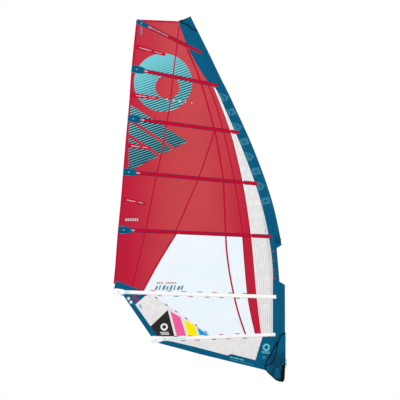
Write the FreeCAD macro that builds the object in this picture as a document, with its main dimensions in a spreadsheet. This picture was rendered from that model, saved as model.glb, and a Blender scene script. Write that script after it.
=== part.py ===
"""Windsurf sail with seven battens, built as separate pieces in one frame.

Millimetres. The origin is at the mouth of the mast sleeve, on the mast's axis. +Z runs up the
mast, +X forward through the sleeve's nose, and -Y out of the side that carries the batten pockets.
The sail's cloth follows one cambered surface, y = camber(x, z), which all its pieces share.
"""
import math
import os

import FreeCAD
import Part

Vector = FreeCAD.Vector
doc = FreeCAD.newDocument("windsurf_sail")

# ---------------------------------------------------------------- driving dimensions
SIZES = [
    ("cloth_thick", 2.0, "panel thickness"),
    ("nose_radius", 30.0, "sleeve nose, outside"),
    ("sleeve_wall", 2.0, "sleeve cloth"),
    ("taper_run", 30.0, "sleeve, from its flat tail to its nose"),
    ("camber_start", 0.08, "share of the chord that stays flat behind the sleeve"),
    ("head_twist", 30.0, "how far the leech falls off at the head"),
    ("pocket_gap", 1.2, "between cloth and pocket"),
    ("pocket_depth", 10.0, "batten pocket, outer face to cloth centre"),
    ("pocket_wall", 2.0, "batten pocket face"),
    ("pocket_lip", 6.0, "sewn lip on each side of a pocket"),
    ("batten_width", 22.0, "batten, across"),
    ("batten_thick", 4.8, "batten, through"),
    ("batten_back", 3.4, "batten, from cloth centre"),
    ("batten_begin", 78.4, "batten, from the leech end"),
    ("pocket_begin", 84.0, "pocket, from the leech end"),
    ("tip_length", 30.0, "plastic tip on a batten's front end"),
    ("mini_width", 22.0, "mini batten pocket, across"),
    ("mini_depth", 8.0, "mini batten pocket"),
    ("screw_axis", 8.0, "tensioner screw, in front of the cloth"),
    ("screw_radius", 3.0, "tensioner screw thread"),
    ("screw_head", 4.6, "tensioner screw head radius"),
    ("head_begin", 8.0, "screw head, from the leech end"),
    ("head_long", 6.0, "screw head length"),
    ("screw_tip", 49.7, "screw tip, from the leech end"),
    ("hex_radius", 2.9, "hexagon socket, corner radius"),
    ("hex_deep", 4.0, "hexagon socket depth"),
    ("slider_begin", 50.0, "slider, tensioned, from the leech end"),
    ("slider_long", 28.0, "slider length"),
    ("slider_wide", 22.0, "slider, across"),
    ("slider_thick", 7.0, "slider, through"),
    ("housing_begin", -6.0, "housing, from the leech end"),
    ("housing_long", 70.0, "housing length"),
    ("housing_wide", 34.0, "housing, across"),
    ("housing_thick", 13.4, "housing, through"),
    ("bore_clear", 0.1, "clearance around the screw"),
    ("counterbore", 5.2, "housing counterbore radius"),
    ("counter_deep", 20.5, "housing counterbore depth"),
    ("slot_begin", 34.0, "slider slot, from the leech end"),
    ("slot_clear", 0.5, "clearance around the slider"),
    ("eyelet_bore", 12.0, "clew eyelet, hole radius"),
    ("eyelet_barrel", 15.0, "clew eyelet, barrel radius"),
    ("eyelet_flange", 22.0, "clew eyelet, flange radius"),
    ("flange_thick", 2.5, "clew eyelet flange"),
    ("flange_gap", 2.3, "clew eyelet flange, from cloth centre"),
    ("cup_radius", 23.0, "mast tip cup, outside"),
    ("cup_bore", 15.0, "mast tip cup, bore"),
    ("cup_long", 90.0, "mast tip cup length"),
    ("cup_floor", 15.0, "mast tip cup, closed end"),
    ("cup_height", 4300.0, "mast tip cup, mouth on the mast's axis"),
    ("fairing_inner", 34.0, "tack fairing, inside nose radius"),
    ("fairing_wall", 4.0, "tack fairing thickness"),
    ("fairing_aft", 2.4, "tack fairing, inner face at its aft edge"),
    ("fairing_split", 0.3, "half gap at the fairing's fold"),
    ("sheave_radius", 12.0, "tack pulley sheave"),
    ("groove_radius", 2.8, "rope groove"),
    ("sheave_wide", 8.6, "sheave width"),
    ("sheave_pitch", 9.4, "between sheaves"),
    ("sheave_bore", 4.08, "sheave bore radius"),
    ("axle_radius", 4.0, "tack pulley axle"),
    ("axle_long", 37.0, "tack pulley axle length"),
    ("block_x", -76.0, "tack pulley axle, fore and aft"),
    ("block_z", -60.0, "tack pulley axle, height"),
    ("block_inner", 15.0, "tack pulley, half gap between cheeks"),
    ("cheek_thick", 2.5, "tack pulley cheek"),
    ("cheek_wide", 36.0, "tack pulley cheek, fore and aft"),
    ("cheek_below", 16.0, "tack pulley cheek, below the axle"),
    ("bridge_low", 21.0, "tack pulley bridge, above the axle"),
    ("bridge_high", 27.0, "tack pulley bridge top, above the axle"),
    ("web_wide", 30.0, "webbing width"),
    ("web_thick", 2.5, "webbing thickness"),
    ("web_apart", 5.0, "webbing leg, inner face to the sail's plane"),
    ("web_top", 190.0, "webbing, upper end"),
]
sheet = doc.addObject("Spreadsheet::Sheet", "Sizes")
for row, (alias, value, note) in enumerate(SIZES, start=1):
    sheet.set(f"A{row}", note)
    sheet.set(f"B{row}", str(value))
    sheet.setAlias(f"B{row}", alias)
doc.recompute()


def size(alias):
    """A driving dimension, read from the sheet."""
    return float(sheet.get(alias))


# ---------------------------------------------------------------- the sail's outline
# Height, luff (front of the sleeve), seam (back of the sleeve), leech and depth of camber.
STATIONS = [
    (-150, 30, -120, -2120, 60),
    (1000, 30, -120, -2120, 125),
    (1300, 20, -122, -2095, 130),
    (1700, -32, -172, -2065, 125),
    (2180, -145, -285, -2020, 110),
    (2780, -360, -500, -1972, 85),
    (3350, -615, -745, -1920, 55),
    (3530, -700, -828, -1908, 46),
    (3640, -757, -940, -1901, 41),
    (4000, -930, -1155, -1870, 26),
    (4450, -1155, -1330, -1822, 12),
]
LUFF, SEAM, LEECH, DEPTH = 1, 2, 3, 4
TWIST_FROM = 1000.0
TWIST_OVER = 3450.0
BELLY_PEAK = 0.4 ** 2 * 0.6 ** 3

# Batten centre lines, leech end and front end, as (x, z), and each pocket's width.
BATTENS = {
    1: ((-1815, 4380), (-1020, 3990), 42),
    2: ((-1880, 3790), (-815, 3580), 42),
    3: ((-1925, 3170), (-545, 2990), 42),
    4: ((-1980, 2500), (-315, 2350), 42),
    5: ((-2045, 1775), (-135, 1690), 42),
    6: ((-2110, 1000), (-80, 935), 50),
    7: ((-1640, 400), (-90, 465), 44),
}
MINI_BATTENS = [
    ((-1850, 4070), (-1465, 3960)),
    ((-1885, 3460), (-1545, 3415)),
    ((-1935, 2830), (-1650, 2795)),
    ((-1990, 2155), (-1710, 2100)),
]
EYELETS = [(-1925, 915), (-1895, 870)]


def slope_at(index, column):
    """Slope of a station column, from the stations on either side."""
    before = STATIONS[max(index - 1, 0)]
    after = STATIONS[min(index + 1, len(STATIONS) - 1)]
    return (after[column] - before[column]) / (after[0] - before[0])


def profile(z, column):
    """A station column at height z, as one smooth curve through the stations."""
    z = min(max(z, STATIONS[0][0]), STATIONS[-1][0])
    index = 0
    while index < len(STATIONS) - 2 and z > STATIONS[index + 1][0]:
        index += 1
    low, high = STATIONS[index], STATIONS[index + 1]
    span = high[0] - low[0]
    t = (z - low[0]) / span
    rise = high[column] - low[column]
    start = slope_at(index, column) * span
    end = slope_at(index + 1, column) * span
    return low[column] + t * (start + t * (3 * rise - 2 * start - end + t * (start + end - 2 * rise)))


def camber(x, z):
    """How far the sail's cloth stands off the flat, to the +Y side."""
    seam = profile(z, SEAM)
    chord = seam - profile(z, LEECH)
    start = size("camber_start")
    v = min(max(((seam - x) / chord - start) / (1 - start), 0.0), 1.0)
    belly = profile(z, DEPTH) * v ** 2 * (1 - v) ** 3 / BELLY_PEAK
    rise = min(max((z - TWIST_FROM) / TWIST_OVER, 0.0), 1.0)
    return belly + size("head_twist") * rise ** 2 * v ** 2 * (3 - 2 * v)


def on_batten(number, x):
    """Height of a batten's centre line at x."""
    (x0, z0), (x1, z1), _ = BATTENS[number]
    return z0 + (z1 - z0) * (x - x0) / (x1 - x0)


# ---------------------------------------------------------------- cambered pieces
GRID_X = 60.0
GRID_Z = 90.0
DEEP = 320.0


def grid_lines(low, high, step):
    """Grid lines one step past both ends, so that neighbours share their lines."""
    first = math.floor(low / step) - 1
    last = math.ceil(high / step) + 1
    return [step * k for k in range(first, last + 1)]


def slab(points, near, far):
    """A block between two faces parallel to the sail's surface, over the points' box."""
    xs = grid_lines(min(p[0] for p in points), max(p[0] for p in points), GRID_X)
    zs = grid_lines(min(p[1] for p in points), max(p[1] for p in points), GRID_Z)
    surface = Part.BSplineSurface()
    surface.interpolate([[Vector(x, camber(x, z) + near, z) for z in zs] for x in xs])
    return surface.toShape().extrude(Vector(0, far - near, 0))


def prism(points):
    """An outline in the XZ plane, drawn through the whole depth of the sail."""
    loop = [Vector(x, -DEEP / 4, z) for x, z in points]
    return Part.Face(Part.makePolygon(loop + loop[:1])).extrude(Vector(0, DEEP, 0))


def cloth(points, near=None, far=None):
    """A piece of cloth with this outline, lying in the sail's surface."""
    half = size("cloth_thick") / 2
    near = -half if near is None else near
    far = half if far is None else far
    return slab(points, near, far).common(prism(points))


def strip(start, end, width, begin, finish):
    """Corners of a strip along a line, from begin to finish measured from its start."""
    length = math.hypot(end[0] - start[0], end[1] - start[1])
    ux, uz = (end[0] - start[0]) / length, (end[1] - start[1]) / length
    corners = []
    for along, side in ((begin, -1), (finish, -1), (finish, 1), (begin, 1)):
        corners.append((start[0] + ux * along - uz * side * width / 2,
                        start[1] + uz * along + ux * side * width / 2))
    return corners


def channel(start, end, width, begin, finish, depth):
    """A pocket: a face and two lips that stand on the cloth, open towards it."""
    outer = strip(start, end, width, begin, finish)
    inner = strip(start, end, width - 2 * size("pocket_lip"), begin - 20, finish + 20)
    back = -size("cloth_thick") / 2 - size("pocket_gap")
    shell = cloth(outer, -depth - 1, back)
    room = cloth(inner, -depth - 1 + size("pocket_wall"), back + 1)
    return shell.cut(room)


def rod(start, end, width, begin, finish, back, thick):
    """A flat batten that follows the sail's surface."""
    return cloth(strip(start, end, width, begin, finish), -back - thick, -back)


def add_shape(name, shape):
    """A piece whose shape follows the cambered surface."""
    piece = doc.addObject("Part::Feature", name)
    piece.Label = name
    piece.Shape = shape
    return piece


# ---------------------------------------------------------------- cloth panels
def seam_line(z):
    """The sleeve's back edge, straight between the heights where its cloth is cut."""
    low = max(cut for cut in SLEEVE_CUTS if cut <= z)
    high = min(cut for cut in SLEEVE_CUTS if cut > z)
    share = (z - low) / (high - low)
    return (1 - share) * profile(low, SEAM) + share * profile(high, SEAM)


def seam_crossing(number):
    """The height at which a batten's line crosses the sleeve's back edge."""
    low, high = BATTENS[number][1][1] - 200, BATTENS[number][0][1] + 200
    for _ in range(40):
        middle = (low + high) / 2
        if on_batten(number, seam_line(middle)) > middle:
            low = middle
        else:
            high = middle
    return low


def seam_points(top, bottom):
    """The sleeve's back edge from top to bottom, just behind the sleeve's own cloth."""
    heights = [z for z in SLEEVE_CUTS if bottom < z < top]
    return [(seam_line(z) - SEAM_GAP, z) for z in [top, *reversed(heights), bottom]]


def leech_points(bottom, top):
    """The leech from bottom to top."""
    heights = [station[0] for station in STATIONS if bottom < station[0] < top]
    return [(profile(z, LEECH), z) for z in [bottom, *heights, top]]


SEAM_GAP = 2.0
SLEEVE_CUTS = [0, 480, 1000, 1290, 1500, 1700, 1930, 2180, 2480, 2780, 3080, 3350, 3530, 3640,
               3820, 4000, 4180, 4330, 4450]
SEAM_AT = {number: seam_crossing(number) for number in BATTENS}
STRIP_TIP = 3560
STRIP_EDGE = {n: (x, on_batten(n, x)) for n, x in ((3, -645), (4, -490), (5, -388), (6, -318),
                                                   (7, -260))}
BAND_EDGE = {n: (x, on_batten(n, x)) for n, x in ((5, -500), (6, -433), (7, -335))}
WINDOW_TOP = (-1325, on_batten(5, -1325))
WINDOW_LOW = (-1745, 1012.1)
CLEW_TOP = (-2088, 1140)
CLEW_FRONT = (-1675, 986)
CLEW_LOW = (-1845, 835)
LEECH_LOW = (-1990, 950)
FOOT_LEECH = (-1650, 450)
FOOT_INNER = (-1565, on_batten(7, -1565))
CLEW_SLANT = (-875, on_batten(7, -875))
FOOT_SEAM = (-245, on_batten(7, -245))
STRIP_STEP = (-690, 205)
TACK_LOW = (-340, 145)


def batten_end(number):
    """The point where a batten's line meets the leech."""
    x = profile(BATTENS[number][0][1], LEECH)
    return x, on_batten(number, x)


def panel_between(upper, lower):
    """The film panel between two battens, from the leech to the luff strip's edge."""
    low = batten_end(lower)
    high = batten_end(upper)
    return [STRIP_EDGE[upper], STRIP_EDGE[lower], low, *leech_points(low[1], high[1])[1:-1], high]


end_1, end_2, end_3, end_5 = (batten_end(number) for number in (1, 2, 3, 5))
HEAD_CORNER = (-1822, 4404)
HEAD_SEAM = 4382

PANELS = {
    "head_panel": [HEAD_CORNER, *seam_points(HEAD_SEAM, SEAM_AT[1]), end_1],
    "film_panel_2": [end_1, *seam_points(SEAM_AT[1], SEAM_AT[2]), end_2,
                     *leech_points(end_2[1], end_1[1])[1:-1]],
    "film_panel_3": [*seam_points(SEAM_AT[2], STRIP_TIP), STRIP_EDGE[3], end_3,
                     *leech_points(end_3[1], end_2[1])[1:-1], end_2],
    "film_panel_4": panel_between(3, 4),
    "film_panel_5": panel_between(4, 5),
    "leech_film_panel": [end_5, WINDOW_TOP, WINDOW_LOW, CLEW_TOP,
                         *leech_points(CLEW_TOP[1], end_5[1])[1:-1]],
    "window_panel": [WINDOW_TOP, *(BAND_EDGE[n] for n in (5, 6, 7)), CLEW_SLANT, CLEW_FRONT,
                     WINDOW_LOW],
    "window_band": [BAND_EDGE[5], *(STRIP_EDGE[n] for n in (5, 6, 7)), BAND_EDGE[7],
                    BAND_EDGE[6]],
    "luff_strip": [*seam_points(STRIP_TIP, SEAM_AT[7]), *(STRIP_EDGE[n] for n in (7, 6, 5, 4, 3))],
    "clew_panel": [CLEW_FRONT, CLEW_SLANT, FOOT_INNER, CLEW_LOW],
    "clew_patch": [CLEW_TOP, CLEW_FRONT, CLEW_LOW, FOOT_INNER, FOOT_LEECH, LEECH_LOW,
                   (-2120, 975)],
    "foot_panel": [FOOT_INNER, CLEW_SLANT, BAND_EDGE[7], STRIP_EDGE[7], FOOT_SEAM, TACK_LOW,
                   (-640, 222), STRIP_STEP, (-1090, 310), (-1390, 380)],
    "foot_strip": [FOOT_LEECH, FOOT_INNER, (-1390, 380), (-1090, 310), STRIP_STEP, (-640, 222),
                   TACK_LOW, (-340, 50), (-1035, 220), (-1255, 280), (-1560, 360)],
    "tack_patch": [FOOT_SEAM, *seam_points(SEAM_AT[7], 0), (-220, 20), (-340, 50), TACK_LOW],
}


def pierced(shape):
    """The clew patch with its eyelet holes."""
    for x, z in EYELETS:
        hole = Part.makeCylinder(size("eyelet_barrel") + 0.6, DEEP, Vector(x, -DEEP / 4, z),
                                 Vector(0, 1, 0))
        shape = shape.cut(hole)
    return shape


for name, outline in PANELS.items():
    panel_shape = cloth(outline)
    if name == "clew_patch":
        panel_shape = pierced(panel_shape)
    add_shape(name, panel_shape)


# ---------------------------------------------------------------- battens and their pockets
def line_length(number):
    """A batten line's length."""
    (x0, z0), (x1, z1), _ = BATTENS[number]
    return math.hypot(x1 - x0, z1 - z0)


def clear_length(number):
    """A pocket's length, so that its upper front corner stays behind the sleeve's taper."""
    start, end, width = BATTENS[number]
    length = line_length(number)
    while True:
        corner_x, corner_z = strip(start, end, width, 0, length)[2]
        if corner_x < profile(corner_z, LUFF) - 2 * size("nose_radius") - size("taper_run"):
            return length
        length -= 1


tips = []
for number, (start, end, width) in BATTENS.items():
    length = clear_length(number)
    add_shape(f"batten_pocket_{number}",
              channel(start, end, width, size("pocket_begin"), length, size("pocket_depth")))
    tip_from = length - 8 - size("tip_length")
    add_shape(f"batten_{number}",
              rod(start, end, size("batten_width"), size("batten_begin"), tip_from,
                  size("batten_back"), size("batten_thick")))
    tips.append(rod(start, end, size("batten_width") + 4, tip_from, length - 8,
                    size("batten_back"), size("batten_thick")))
add_shape("batten_tips", Part.Compound(tips))

mini_pockets = []
mini_rods = []
for start, end in MINI_BATTENS:
    length = math.hypot(end[0] - start[0], end[1] - start[1])
    mini_pockets.append(channel(start, end, size("mini_width"), 0, length, size("mini_depth") - 1))
    mini_rods.append(rod(start, end, size("mini_width") - 14, 10, length - 15, 3.2, 2))
add_shape("mini_batten_pockets", Part.Compound(mini_pockets))
add_shape("mini_battens", Part.Compound(mini_rods))


# ---------------------------------------------------------------- mast sleeve
def sleeve_section(z, grow):
    """The sleeve's outline at height z: a flat tail, a taper and a round nose."""
    luff, seam = profile(z, LUFF), profile(z, SEAM)
    radius = size("nose_radius") + grow
    half = size("cloth_thick") / 2
    centre = luff - size("nose_radius")
    tail = centre - size("nose_radius") - size("taper_run")
    turn = math.acos(radius / math.hypot(centre - tail, half))
    touch_x, touch_y = centre - radius * math.cos(turn), radius * math.sin(turn)
    nose = Part.Arc(Vector(touch_x, -touch_y, z), Vector(centre + radius, 0, z),
                    Vector(touch_x, touch_y, z)).toShape()
    if grow < 0:
        apex = Vector(tail + 12, 0, z)
        corners = [Vector(touch_x, touch_y, z), apex, Vector(touch_x, -touch_y, z)]
    else:
        corners = [Vector(touch_x, touch_y, z), Vector(tail, half, z), Vector(seam, half, z),
                   Vector(seam, -half, z), Vector(tail, -half, z), Vector(touch_x, -touch_y, z)]
    sides = [Part.makeLine(a, b) for a, b in zip(corners, corners[1:])]
    return Part.Wire([nose, *sides])


def sleeve_tube(heights):
    """The sleeve between two heights, hollow where the mast goes."""
    skin = Part.makeLoft([sleeve_section(z, 0) for z in heights], True, True)
    past = [heights[0] - 5, *heights[1:-1], heights[-1] + 5]
    room = Part.makeLoft([sleeve_section(z, -size("sleeve_wall")) for z in past], True, True)
    return skin.cut(room)


CUT_TOP = [(-400, 1700), (-400, 1545), (-75, 1545), (-10, 1585), (100, 1652), (100, 1700)]
CUT_LOW = [(-400, 1000), (-400, 1125), (-40, 1125), (30, 1085), (100, 1045), (100, 1000)]
HEAD_LINE = [(-1500, 4330), (-1500, 4368), (-1320, 4384), (-1240, 4400), (-1145, 4440),
             (-1000, 4440), (-1000, 4330)]

lower = sleeve_tube([z for z in SLEEVE_CUTS if z <= 1000])
lower_end = sleeve_tube([1000, 1180]).common(prism(CUT_LOW))
add_shape("sleeve_lower", lower.fuse(lower_end))

# The upper sleeve is sewn from lengths of cloth, which meet edge to edge at level seams.
SLEEVE_JOINS = [1700, 2180, 2780, 3350, 3820, 4180, 4330]
lengths = [sleeve_tube([1500, SLEEVE_JOINS[0]]).common(prism(CUT_TOP))]
for low, high in zip(SLEEVE_JOINS, SLEEVE_JOINS[1:]):
    between = [z for z in SLEEVE_CUTS if low < z < high]
    lengths.append(sleeve_tube([low + size("cloth_thick") / 4, *between, high]))
add_shape("sleeve_upper", Part.makeCompound(lengths))

web_points = [(profile(1544, SEAM), 1544), (profile(1290, SEAM), 1290),
              (profile(1126, SEAM), 1126), (-41, 1126), (-76, 1544)]
half_cloth = size("cloth_thick") / 2
web_face = Part.Face(Part.makePolygon([Vector(x, -half_cloth, z)
                                       for x, z in web_points + web_points[:1]]))
add_shape("boom_cutout_web", web_face.extrude(Vector(0, size("cloth_thick"), 0)))

head_skin = Part.makeLoft([sleeve_section(z, 0) for z in (4331, 4450)], True, True)
head_room = Part.makeLoft([sleeve_section(z, -size("sleeve_wall")) for z in (4325, 4450)],
                          True, True)
head_low = [(x, z - 6) for x, z in HEAD_LINE]
add_shape("head_cap", head_skin.common(prism(HEAD_LINE)).cut(head_room.common(prism(head_low))))

# ---------------------------------------------------------------- mast tip cup
cup_z = size("cup_height")
cup_low = Vector(profile(cup_z, LUFF) - size("nose_radius"), 0, cup_z)
above = cup_z + size("cup_long")
cup_high = Vector(profile(above, LUFF) - size("nose_radius"), 0, above)
cup_axis = (cup_high - cup_low).normalize()
cup = doc.addObject("Part::Cylinder", "cup_outside")
cup.setExpression("Radius", "Sizes.cup_radius")
cup.setExpression("Height", "Sizes.cup_long")
bore = doc.addObject("Part::Cylinder", "cup_bore_tool")
bore.setExpression("Radius", "Sizes.cup_bore")
bore.setExpression("Height", "Sizes.cup_long - Sizes.cup_floor")
tip_cup = doc.addObject("Part::Cut", "mast_tip_cup")
tip_cup.Label = "mast_tip_cup"
tip_cup.Base = cup
tip_cup.Tool = bore
tip_cup.Placement = FreeCAD.Placement(cup_low, FreeCAD.Rotation(Vector(0, 0, 1), cup_axis))


# ---------------------------------------------------------------- sketches and bodies
def add_body(name):
    """A PartDesign body with its own label."""
    body = doc.addObject("PartDesign::Body", name)
    body.Label = name
    return body


def plane_of(body, role):
    """One of a body's own origin planes."""
    return next(item for item in body.Origin.OriginFeatures if item.Role == role)


def draw(body, role, points, offset=None):
    """A sketch of one closed outline on a body's own plane."""
    sketch = body.newObject("Sketcher::SketchObject", body.Name + "_sketch")
    sketch.AttachmentSupport = (plane_of(body, role), [""])
    sketch.MapMode = "FlatFace"
    if offset:
        sketch.AttachmentOffset = offset
    corners = [Vector(x, y, 0) for x, y in points]
    for a, b in zip(corners, corners[1:] + corners[:1]):
        sketch.addGeometry(Part.LineSegment(a, b))
    return sketch


def turned(body, points, axis="H_Axis"):
    """A full revolution of an outline about a sketch axis."""
    sketch = draw(body, "XY_Plane", points)
    feature = body.newObject("PartDesign::Revolution", body.Name + "_turned")
    feature.Profile = sketch
    feature.ReferenceAxis = (sketch, [axis])
    feature.Angle = 360
    return feature


# ---------------------------------------------------------------- batten tensioners
HEX = [(math.cos(math.radians(60 * k)), math.sin(math.radians(60 * k))) for k in range(6)]


def leech_place(number, axis_offset):
    """Placement of a tensioner piece: local x along the batten, from its leech end."""
    (x0, z0), (x1, z1), _ = BATTENS[number]
    length = line_length(number)
    reach = size("housing_begin") + size("housing_long") + 20
    foot = []
    for along in (0.0, reach / 2, reach):
        x, z = x0 + (x1 - x0) * along / length, z0 + (z1 - z0) * along / length
        foot.append(min(camber(x, z + side) for side in (-17, 17)))
    turn = FreeCAD.Rotation(Vector(0, 1, 0), math.degrees(math.atan2(z0 - z1, x1 - x0)))
    return FreeCAD.Placement(Vector(x0, min(foot) - axis_offset, z0), turn)


def add_screw(number):
    """A socket screw on the tensioner's axis."""
    body = add_body(f"tensioner_screw_{number}")
    start, neck, tip = size("head_begin"), size("head_begin") + size("head_long"), size("screw_tip")
    head, thread = size("screw_head"), size("screw_radius")
    turned(body, [(start, 0), (start, head - 0.6), (start + 0.6, head), (neck, head),
                  (neck, thread), (tip - 1.5, thread), (tip, thread - 1.0), (tip, 0)])
    doc.recompute()
    lift = FreeCAD.Placement(Vector(0, 0, start), FreeCAD.Rotation())
    socket = draw(body, "YZ_Plane", [(x * size("hex_radius"), y * size("hex_radius"))
                                     for x, y in HEX], lift)
    pocket = body.newObject("PartDesign::Pocket", f"hex_socket_{number}")
    pocket.Profile = socket
    pocket.setExpression("Length", "Sizes.hex_deep")
    pocket.Reversed = True
    doc.recompute()
    body.Placement = leech_place(number, size("screw_axis"))
    return body


def add_slider(number):
    """The block that pushes the batten's end."""
    body = add_body(f"tensioner_slider_{number}")
    low, high = size("slider_begin"), size("slider_begin") + size("slider_long")
    half = size("slider_thick") / 2
    sketch = draw(body, "XY_Plane", [(low, -half), (high, -half), (high, half), (low, half)])
    pad = body.newObject("PartDesign::Pad", f"slider_block_{number}")
    pad.Profile = sketch
    pad.setExpression("Length", "Sizes.slider_wide")
    pad.Midplane = True
    doc.recompute()
    body.Placement = leech_place(number, size("screw_axis"))
    return body


def bound(kind, name, expressions, place=None):
    """A Part primitive with its sizes bound to the sheet."""
    piece = doc.addObject(kind, name)
    for key, expression in expressions.items():
        piece.setExpression(key, expression)
    if place:
        piece.Placement = place
    return piece


def cut(name, base, *tools):
    """One cut after another."""
    for index, tool in enumerate(tools):
        step = doc.addObject("Part::Cut", name if index == len(tools) - 1 else f"{name}_{index}")
        step.Base = base
        step.Tool = tool
        base = step
    return base


along_x = FreeCAD.Rotation(Vector(0, 0, 1), Vector(1, 0, 0))
along_y = FreeCAD.Rotation(Vector(0, 0, 1), Vector(0, 1, 0))
housing_block = bound("Part::Box", "housing_block",
                      {"Length": "Sizes.housing_long", "Width": "Sizes.housing_thick",
                       "Height": "Sizes.housing_wide"})
housing_block.Placement.Base = Vector(size("housing_begin"), -size("housing_thick") / 2,
                                      -size("housing_wide") / 2)
head_bore = bound("Part::Cylinder", "housing_counterbore",
                  {"Radius": "Sizes.counterbore", "Height": "Sizes.counter_deep"},
                  FreeCAD.Placement(Vector(size("housing_begin"), 0, 0), along_x))
thread_bore = bound("Part::Cylinder", "housing_thread",
                    {"Radius": "Sizes.screw_radius + Sizes.bore_clear",
                     "Height": "Sizes.housing_long"},
                    FreeCAD.Placement(Vector(size("housing_begin"), 0, 0), along_x))
slot_box = bound("Part::Box", "housing_slot",
                 {"Length": "Sizes.housing_long",
                  "Width": "Sizes.slider_thick + 2 * Sizes.slot_clear",
                  "Height": "Sizes.slider_wide + 2 * Sizes.slot_clear"})
slot_box.Placement.Base = Vector(size("slot_begin"),
                                 -size("slider_thick") / 2 - size("slot_clear"),
                                 -size("slider_wide") / 2 - size("slot_clear"))
housing = cut("housing_pattern", housing_block, head_bore, thread_bore, slot_box)
doc.recompute()

housings = []
for number in BATTENS:
    add_screw(number)
    add_slider(number)
    copy = housing.Shape.copy()
    copy.Placement = leech_place(number, size("screw_axis"))
    housings.append(copy)
add_shape("tensioner_housings", Part.Compound(housings))


# ---------------------------------------------------------------- clew eyelets
def eyelet(x, z):
    """A pressed spool: a barrel through the cloth with a flange on each side."""
    middle = camber(x, z)
    inner, outer = size("flange_gap"), size("flange_gap") + size("flange_thick")
    axis = Vector(0, 1, 0)
    low = Vector(x, middle - outer, z)
    spool = Part.makeCylinder(size("eyelet_barrel"), 2 * outer, low, axis)
    for start in (-outer, inner):
        spool = spool.fuse(Part.makeCylinder(size("eyelet_flange"), size("flange_thick"),
                                             Vector(x, middle + start, z), axis))
    return spool.cut(Part.makeCylinder(size("eyelet_bore"), 2 * outer, low, axis))


add_shape("clew_eyelets", Part.Compound([eyelet(x, z) for x, z in EYELETS]))

# ---------------------------------------------------------------- tack fairing
FAIRING_SIDE = [(45, 485), (25, 485), (-25, 450), (-45, 400), (-215, 90), (-215, 30), (-185, -5),
                (-110, -75), (-75, -105), (-25, -120), (4, -120), (18, -92), (27, 84), (45, 104)]
FAIRING_AFT = -216


def fairing_plan(radius, aft):
    """The fairing's plan: a round nose and straight sides to its aft edge."""
    turn = math.atan2(radius - aft, -FAIRING_AFT)
    touch_x, touch_y = -radius * math.sin(turn), radius * math.cos(turn)
    nose = Part.Arc(Vector(touch_x, -touch_y, -140), Vector(radius, 0, -140),
                    Vector(touch_x, touch_y, -140)).toShape()
    corners = [Vector(touch_x, touch_y, -140), Vector(FAIRING_AFT, aft, -140),
               Vector(FAIRING_AFT, -aft, -140), Vector(touch_x, -touch_y, -140)]
    sides = [Part.makeLine(a, b) for a, b in zip(corners, corners[1:])]
    return Part.Face(Part.Wire([nose, *sides])).extrude(Vector(0, 0, 640))


def fairing_half(side):
    """One side of the fairing, split at the nose's fold."""
    wall = size("fairing_wall")
    inner, aft = size("fairing_inner"), size("fairing_aft")
    shell = fairing_plan(inner + wall, aft + wall).cut(fairing_plan(inner, aft))
    room = Part.makeBox(600, 100, 800, Vector(-400, 0, -200))
    room.translate(Vector(0, size("fairing_split") if side > 0 else -100 - size("fairing_split"), 0))
    return shell.common(prism(FAIRING_SIDE)).common(room)


add_shape("tack_fairing_back", fairing_half(1))
add_shape("tack_fairing_flap", fairing_half(-1))

# ---------------------------------------------------------------- tack pulley
block_at = Vector(size("block_x"), 0, size("block_z"))


def add_sheave(number):
    """A grooved sheave that turns on the axle."""
    body = add_body(f"tack_sheave_{number}")
    half, outer, inner = size("sheave_wide") / 2, size("sheave_radius"), size("sheave_bore")
    deep = size("groove_radius")
    steps = [math.radians(30 * k) for k in range(7)]
    groove = [(deep * math.cos(a), outer - deep * math.sin(a)) for a in steps]
    turned(body, [(-half, inner), (half, inner), (half, outer), *groove, (-half, outer)])
    doc.recompute()
    shift = Vector(0, (number - 2) * size("sheave_pitch"), 0)
    body.Placement = FreeCAD.Placement(block_at + shift, FreeCAD.Rotation(Vector(0, 0, 1), 90))
    return body


for number in (1, 2, 3):
    add_sheave(number)

axle = bound("Part::Cylinder", "tack_pulley_axle",
             {"Radius": "Sizes.axle_radius", "Height": "Sizes.axle_long"},
             FreeCAD.Placement(block_at - Vector(0, size("axle_long") / 2, 0), along_y))
axle.Label = "tack_pulley_axle"

block_half = size("block_inner") + size("cheek_thick")
block_body = bound("Part::Box", "block_outside",
                   {"Length": "Sizes.cheek_wide",
                    "Width": "2 * (Sizes.block_inner + Sizes.cheek_thick)",
                    "Height": "Sizes.cheek_below + Sizes.bridge_high"},
                   FreeCAD.Placement(block_at + Vector(-size("cheek_wide") / 2, -block_half,
                                                       -size("cheek_below")),
                                     FreeCAD.Rotation()))
block_room = bound("Part::Box", "block_room",
                   {"Length": "Sizes.cheek_wide + 2",
                    "Width": "2 * Sizes.block_inner",
                    "Height": "Sizes.cheek_below + Sizes.bridge_low + 1"},
                   FreeCAD.Placement(block_at + Vector(-size("cheek_wide") / 2 - 1,
                                                       -size("block_inner"),
                                                       -size("cheek_below") - 1),
                                     FreeCAD.Rotation()))
block_hole = bound("Part::Cylinder", "block_hole",
                   {"Radius": "Sizes.axle_radius + 0.05", "Height": "Sizes.axle_long + 10"},
                   FreeCAD.Placement(block_at - Vector(0, size("axle_long") / 2 + 5, 0), along_y))
block = cut("tack_pulley_block", block_body, block_room, block_hole)
block.Label = "tack_pulley_block"

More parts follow.
